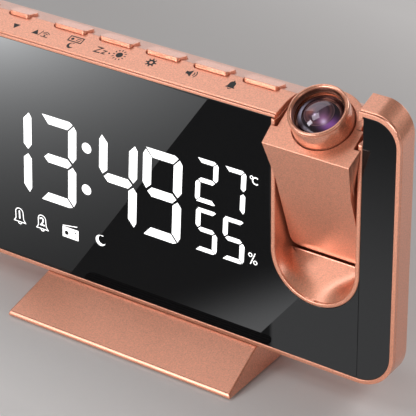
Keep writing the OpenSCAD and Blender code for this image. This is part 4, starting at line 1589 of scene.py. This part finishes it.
@dataclass
class Projector:
    """Tilting arm with its focus ring and lens.

    The pin is (y, z), and the cover plate is told by its depth behind the pin's front and by its height
    along the arm. The filler's place is its distance beside and behind the lens axis. Profiles are
    (radius, height) points about the lens axis, from the head's top face.
    """

    arm_lean: float = 19.0
    pin: Pair = (14.6, 50.0)
    pin_depth: float = 8.0
    plate_rear: float = 1.4
    plate_end: float = 2.2
    head_z: float = 80.0
    seam: float = 0.1
    sides: Pair = (47.13, 76.87)
    top_reach: float = 0.12
    side_reach: float = 0.025
    filler: Triple = (3.0, 5.6, 9.5)
    filler_place: Pair = (11.5, -1.8)
    rounding: float = 0.22
    skirt: tuple = ((8.4, -1.85), (9.4, -1.85), (9.4, 0.5), (9.22, 5.75), (9.17, 5.9), (9.02, 5.97),
                    (9.02, 6.12))
    lip: tuple = ((9.14, 6.25), (9.17, 6.5), (9.1, 6.75), (8.93, 6.93), (8.7, 7.0), (8.45, 6.95),
                  (8.2, 6.82), (8.02, 6.62), (7.95, 6.4))
    inner: tuple = ((7.9, 6.2), (8.0, 5.9), (8.4, 5.6))
    barrel: tuple = ((8.35, 5.5), (7.93, 6.3), (7.85, 5.9), (7.62, 5.5), (7.6, 5.2), (7.4, 5.1),
                     (7.35, 4.85), (7.45, 4.75), (8.2, 4.7))
    rim: float = 7.25
    rim_height: float = 3.7
    dome_height: float = 5.9
    glass_foot: float = 2.6
    pole: float = 0.002

    def axis(self) -> Matrix:
        """The lens axis, with its foot on the head's top face."""
        return Matrix.Translation(at(*LENS_FOOT)) @ leaning(LENS_LEAN)

    def head_filler(self, side: int) -> bpy.types.Object:
        """A block that carries the head's top face back beside the ring.

        Args:
            side: -1 for the left, 1 for the right.

        Returns:
            The block.
        """
        out, back = self.filler_place
        middle = Matrix.Translation((mm(side * out), mm(back), -mm(self.filler[2]) / 2.0))
        Bench.clear()
        bpy.ops.mesh.primitive_cube_add(size=mm(1.0))
        block = bpy.context.object
        block.matrix_world = self.axis() @ middle @ Matrix.Diagonal((*self.filler, 1.0))
        return Bench.settle(block, "head_filler")

    def close_seam(self, plate: bpy.types.Object) -> None:
        """Grows the arm's cover plate until it meets the arm, at its rear face and its lower end.

        Args:
            plate: the plate's copy.
        """
        along = Vector((0.0, -math.sin(math.radians(self.arm_lean)), math.cos(math.radians(self.arm_lean))))
        rear = Vector((0.0, along.z, -along.y))
        head = math.radians(LENS_LEAN)
        front = Vector((0.0, *self.pin)) - rear * self.pin_depth

        def deep(point: Vector) -> bool:
            """Whether a point lies on the plate's rear face."""
            return (point - front).dot(rear) > self.plate_rear

        def in_head(point: Vector) -> bool:
            """Whether a point lies on the rear face in the arm's head."""
            return deep(point) and point.z > self.head_z

        def in_arm(point: Vector) -> bool:
            """Whether a point lies on the rear face below the head."""
            return deep(point) and point.z < self.head_z

        def low(point: Vector) -> bool:
            """Whether a point lies on the plate's lower end."""
            return (point - front).dot(along) < self.plate_end

        Bench.move_points(plate, in_arm, rear * self.seam)
        Bench.move_points(plate, in_head, Vector((0.0, math.cos(head), math.sin(head))) * self.seam)
        Bench.move_points(plate, low, along * -self.seam)

    def level_head(self, body: bpy.types.Object) -> None:
        """Lays the points of the head's top face and of its two sides in one plane each.

        Args:
            body: the arm.
        """
        lean = math.radians(LENS_LEAN)
        up = Vector((0.0, -math.sin(lean), math.cos(lean)))
        for vertex in body.data.vertices:
            off = (vertex.co - at(*LENS_FOOT)).dot(up)
            if abs(off) < mm(self.top_reach):
                vertex.co -= up * off
            for side in self.sides:
                if abs(vertex.co.x * 1000.0 - side) < self.side_reach:
                    vertex.co.x = mm(side)
        Bench.merge(body)

    def build_arm(self) -> None:
        """Builds the arm as one smooth body."""
        plate = Bench.copy_of("arm_plate")
        self.close_seam(plate)
        body = Bench.copy_of("arm_body")
        Bench.unite(body, [plate, self.head_filler(-1), self.head_filler(1)])
        self.level_head(body)
        Bench.finish(body, Finish.SHELL, "arm_body", "arm_plate", width=self.rounding)

    def build_ring(self) -> None:
        """Builds the focus ring with its rounded lip, and the barrel inside it."""
        profile = [*self.skirt, *self.lip, *self.inner]
        ring = Bench.turned("focus_ring_looks", profile, self.axis(), 128, Finish.RING)
        Bench.fit(ring, "focus_ring", "focus_ring")
        barrel = Bench.turned("lens_barrel", self.barrel, self.axis(), 128, Finish.BARREL)
        Bench.fit(barrel, "focus_ring")

    def build_glass(self) -> None:
        """Builds the domed front lens, with a part of a sphere as its dome."""
        high = self.dome_height - self.rim_height
        radius = (self.rim * self.rim + high * high) / (2 * high)
        steps = 20
        profile = []
        for k in range(steps + 1):
            r = self.rim * k / steps
            height = self.dome_height - radius + math.sqrt(radius * radius - r * r)
            profile.append((max(r, self.pole), height))
        profile += [(self.rim, self.glass_foot), (self.pole, self.glass_foot)]
        glass = Bench.turned("objective_lens_looks", profile, self.axis(), 96, Finish.FRONT_GLASS)
        Bench.fit(glass, "lens", "objective_lens")

    def build(self) -> None:
        """Builds the arm, ring and lens."""
        self.build_arm()
        self.build_ring()
        Bench.soften("lens_carrier", Finish.BLACK, 0.15)
        self.build_glass()


# ---- inside parts --------------------------------------------------------


@dataclass
class Inside:
    """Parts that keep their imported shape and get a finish."""

    finishes: tuple = (
        ("foot_plate", Finish.DARK), ("foot_pads", Finish.RUBBER), ("foot_screws", Finish.DARK_STEEL),
        ("rear_screws", Finish.DARK_STEEL), ("digit_module", Finish.WHITE), ("led_board", Finish.BOARD),
        ("board_spacers", Finish.BRASS), ("main_board", Finish.BOARD), ("main_chips", Finish.CHIP),
        ("climate_sensor", Finish.WHITE), ("key_board", Finish.BOARD), ("tact_switches", Finish.BLACK),
        ("speaker", Finish.CONE), ("speaker_ring", Finish.STEEL), ("dc_jack", Finish.BLACK),
        ("usb_socket", Finish.STEEL), ("coin_cell", Finish.STEEL), ("cell_holder", Finish.DARK),
        ("hinge_pin", Finish.STEEL), ("arm_washers", Finish.WHITE), ("projector_led", Finish.WHITE),
        ("projector_slide", Finish.FILM), ("condenser_lens", Finish.GLASS),
    )

    def build(self) -> None:
        """Dresses each part in place."""
        for name, finish in self.finishes:
            Bench.dress(STATE.nodes[name], finish)
            LOG.info("%s dressed as %s", name, finish.name.lower())


# ---- the studio ----------------------------------------------------------


@dataclass
class Softbox:
    """One area light, in metres of the shared frame."""

    name: str
    place: Triple
    size: Pair
    power: float
    aim: Triple = (0.0, 0.0, 0.05)

    def build(self) -> None:
        """Makes the light."""
        light = bpy.data.lights.new(self.name, "AREA")
        light.shape = "RECTANGLE"
        light.size, light.size_y = self.size
        light.energy = self.power
        lamp = bpy.data.objects.new(self.name, light)
        bpy.context.scene.collection.objects.link(lamp)
        lamp.location = self.place
        lamp.rotation_euler = (Vector(self.aim) - Vector(self.place)).to_track_quat("-Z", "Y").to_euler()


@dataclass
class Cards:
    """Cards just over the floor that only mirrors see, with corners in millimetres on the clock.

    A power is how much a glow climbs and what it climbs from. An edge is the stretch in x on which a
    glow climbs, and its slope is how far that stretch moves with y.
    """

    bright: tuple = ((-77.3, -144.6), (-42.8, -13.9), (-110.0, -12.0), (-240.0, -150.0))
    bright_heart: Triple = (-185.0, -150.0, 0.5)
    bright_fade: float = 58.0
    dark: tuple = ((-77.3, -144.6), (-42.8, -13.9), (-42.0, 5.0), (110.0, 5.0), (120.0, -240.0),
                   (-60.0, -240.0))
    patch: tuple = ((30.4, -41.3), (31.6, -13.3), (31.8, 4.0), (-30.0, 4.0), (-30.0, -80.0), (27.0, -80.0))
    heights: Triple = (0.5, 0.4, 0.6)
    white: Triple = (0.97, 0.985, 1.0)
    pale: Triple = (0.97, 0.98, 1.0)
    least: float = 0.115
    bright_power: Pair = (9.8, 0.1)
    dark_edge: Pair = (45.5, 47.5)
    dark_slope: float = -0.651
    dark_depth: Pair = (-175.0, -45.0)
    dark_power: Pair = (0.62, 0.08)
    patch_edge: Pair = (-24.0, 23.0)
    patch_slope: float = 0.45
    patch_power: float = 1.55

    def lay(self, name: str, outline: Sequence[Pair], height: float, material: bpy.types.Material) -> None:
        """Lays one card.

        Args:
            name: the card's name.
            outline: its corners.
            height: its height over the floor in millimetres.
            material: its material.
        """
        Bench.clear()
        bpy.ops.mesh.primitive_circle_add(vertices=len(outline), fill_type="NGON", radius=1.0)
        card = bpy.context.object
        for vertex, (x, y) in zip(card.data.vertices, outline):
            vertex.co = at(x, y, height)
        Bench.settle(card, name)
        card.data.materials.append(material)
        card.visible_camera = False
        card.visible_diffuse = False
        card.visible_shadow = False
        card.visible_transmission = False

    def place(self, r: Recipe) -> tuple[Sock, Sock]:
        """The shaded point's place on the clock, across and to the rear, in millimetres."""
        return r.axis("X") * 1000.0, r.axis("Y") * 1000.0 + MID_Y

    def bright_glow(self) -> bpy.types.Material:
        """Glow of the bright card: brightest at its left front corner.

        Returns:
            The card's material.
        """
        r = Recipe("reflector_card")
        far = r.node("ShaderNodeVectorMath", {"operation": "DISTANCE"},
                     {0: r.where(), 1: at(*self.bright_heart)}, "Value")
        climb, foot = self.bright_power
        return r.mirror_only(self.white, (far * (-1.0 / mm(self.bright_fade))).fade() * climb + foot)

    def dark_glow(self) -> bpy.types.Material:
        """Glow of the dark card, which pales towards the right and the clock.

        Returns:
            The card's material.
        """
        r = Recipe("dark_flag")
        x, y = self.place(r)
        climb, foot = self.dark_power
        side = (x + y * self.dark_slope).step(*self.dark_edge)
        level = y.step(*self.dark_depth) * climb + foot
        return r.mirror_only(self.pale, side * level + self.least)

    def patch_glow(self) -> bpy.types.Material:
        """Glow of the small patch low on the panel, which fades to the left.

        Returns:
            The card's material.
        """
        r = Recipe("glow_patch")
        x, y = self.place(r)
        level = (x + y * self.patch_slope).step(*self.patch_edge)
        return r.mirror_only(self.pale, level * level * self.patch_power + self.least)

    def build(self) -> None:
        """Lays the three cards in front of the panel."""
        self.lay("bright_card", self.bright, self.heights[0], self.bright_glow())
        self.lay("dark_card", self.dark, self.heights[1], self.dark_glow())
        self.lay("patch_card", self.patch, self.heights[2], self.patch_glow())


@dataclass
class Studio:
    """Floor, light and camera, in metres of the shared frame.

    The camera looks against the near direction and is turned from it by a share to the right and a
    share upwards.
    """

    floor_size: float = 12.0
    eye: Triple = (0.3367, -0.45265, 0.3663)
    focal: float = 178.4
    right: Triple = (0.838, 0.546, 0.0)
    near: Triple = (0.470, -0.721, 0.509)
    rise: Triple = (-0.278, 0.4265, 0.861)
    turn: Pair = (-0.02867, 0.01256)
    world: Triple = (0.52, 0.51, 0.505)
    world_power: float = 0.3
    lamps: tuple = (
        Softbox("key_box", (-0.62, 0.34, 0.92), (0.7, 0.7), 1.85),
        Softbox("top_box", (-0.42, -0.28, 0.97), (0.3, 0.3), 0.9, (0.0, 0.0, 0.08)),
        Softbox("edge_box", (-0.6, -0.56, 0.82), (0.22, 0.22), 1.1),
        Softbox("front_box", (-0.45, -1.3, 0.5), (1.0, 0.7), 5.4),
        Softbox("low_box", (-0.3, -1.3, 0.14), (1.0, 0.22), 8.0),
        Softbox("rear_box", (0.5, 0.9, 0.7), (0.6, 0.6), 5.5),
        Softbox("back_box", (-0.8, 1.15, 0.3), (1.2, 0.5), 2.0),
        Softbox("right_box", (1.0, -0.3, 0.3), (0.4, 0.4), 1.0),
    )

    def build_floor(self) -> None:
        """Makes the pale floor."""
        Bench.clear()
        bpy.ops.mesh.primitive_plane_add(size=self.floor_size, location=(0, 0, 0))
        floor = Bench.settle(bpy.context.object, "studio_floor")
        Bench.dress(floor, Finish.FLOOR)

    def build_world(self) -> None:
        """Sets the plain light from all around."""
        world = bpy.data.worlds.new("studio")
        bpy.context.scene.world = world
        world.use_nodes = True
        back = world.node_tree.nodes["Background"]
        back.inputs[0].default_value = (*self.world, 1.0)
        back.inputs[1].default_value = self.world_power

    def build_camera(self) -> None:
        """Places the camera, turned a little from the view along the near direction."""
        side, near, rise = Vector(self.right), Vector(self.near), Vector(self.rise)
        z = -(-near + self.turn[0] * side + self.turn[1] * rise).normalized()
        x = (side - z * side.dot(z)).normalized()
        y = z.cross(x)
        camera = bpy.data.cameras.new("camera")
        camera.lens = self.focal
        camera.sensor_width = 36.0
        camera.sensor_fit = "HORIZONTAL"
        camera.clip_start = 0.01
        holder = bpy.data.objects.new("camera", camera)
        bpy.context.scene.collection.objects.link(holder)
        holder.matrix_world = Matrix.Translation(self.eye) @ Matrix((x, y, z)).transposed().to_4x4()
        bpy.context.scene.camera = holder

    def build(self) -> None:
        """Builds the studio."""
        self.build_floor()
        Cards().build()
        self.build_world()
        for lamp in self.lamps:
            lamp.build()
        self.build_camera()
        bpy.context.scene.view_settings.view_transform = "Standard"


def main() -> None:
    """Builds the clock and its studio in order."""
    logging.basicConfig(level=logging.INFO, format="%(name)s: %(message)s")
    STATE.load()
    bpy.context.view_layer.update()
    Studio().build()
    Case().build()
    Display().build()
    Keys().build()
    Projector().build()
    Inside().build()


if __name__ == "__main__":
    main()
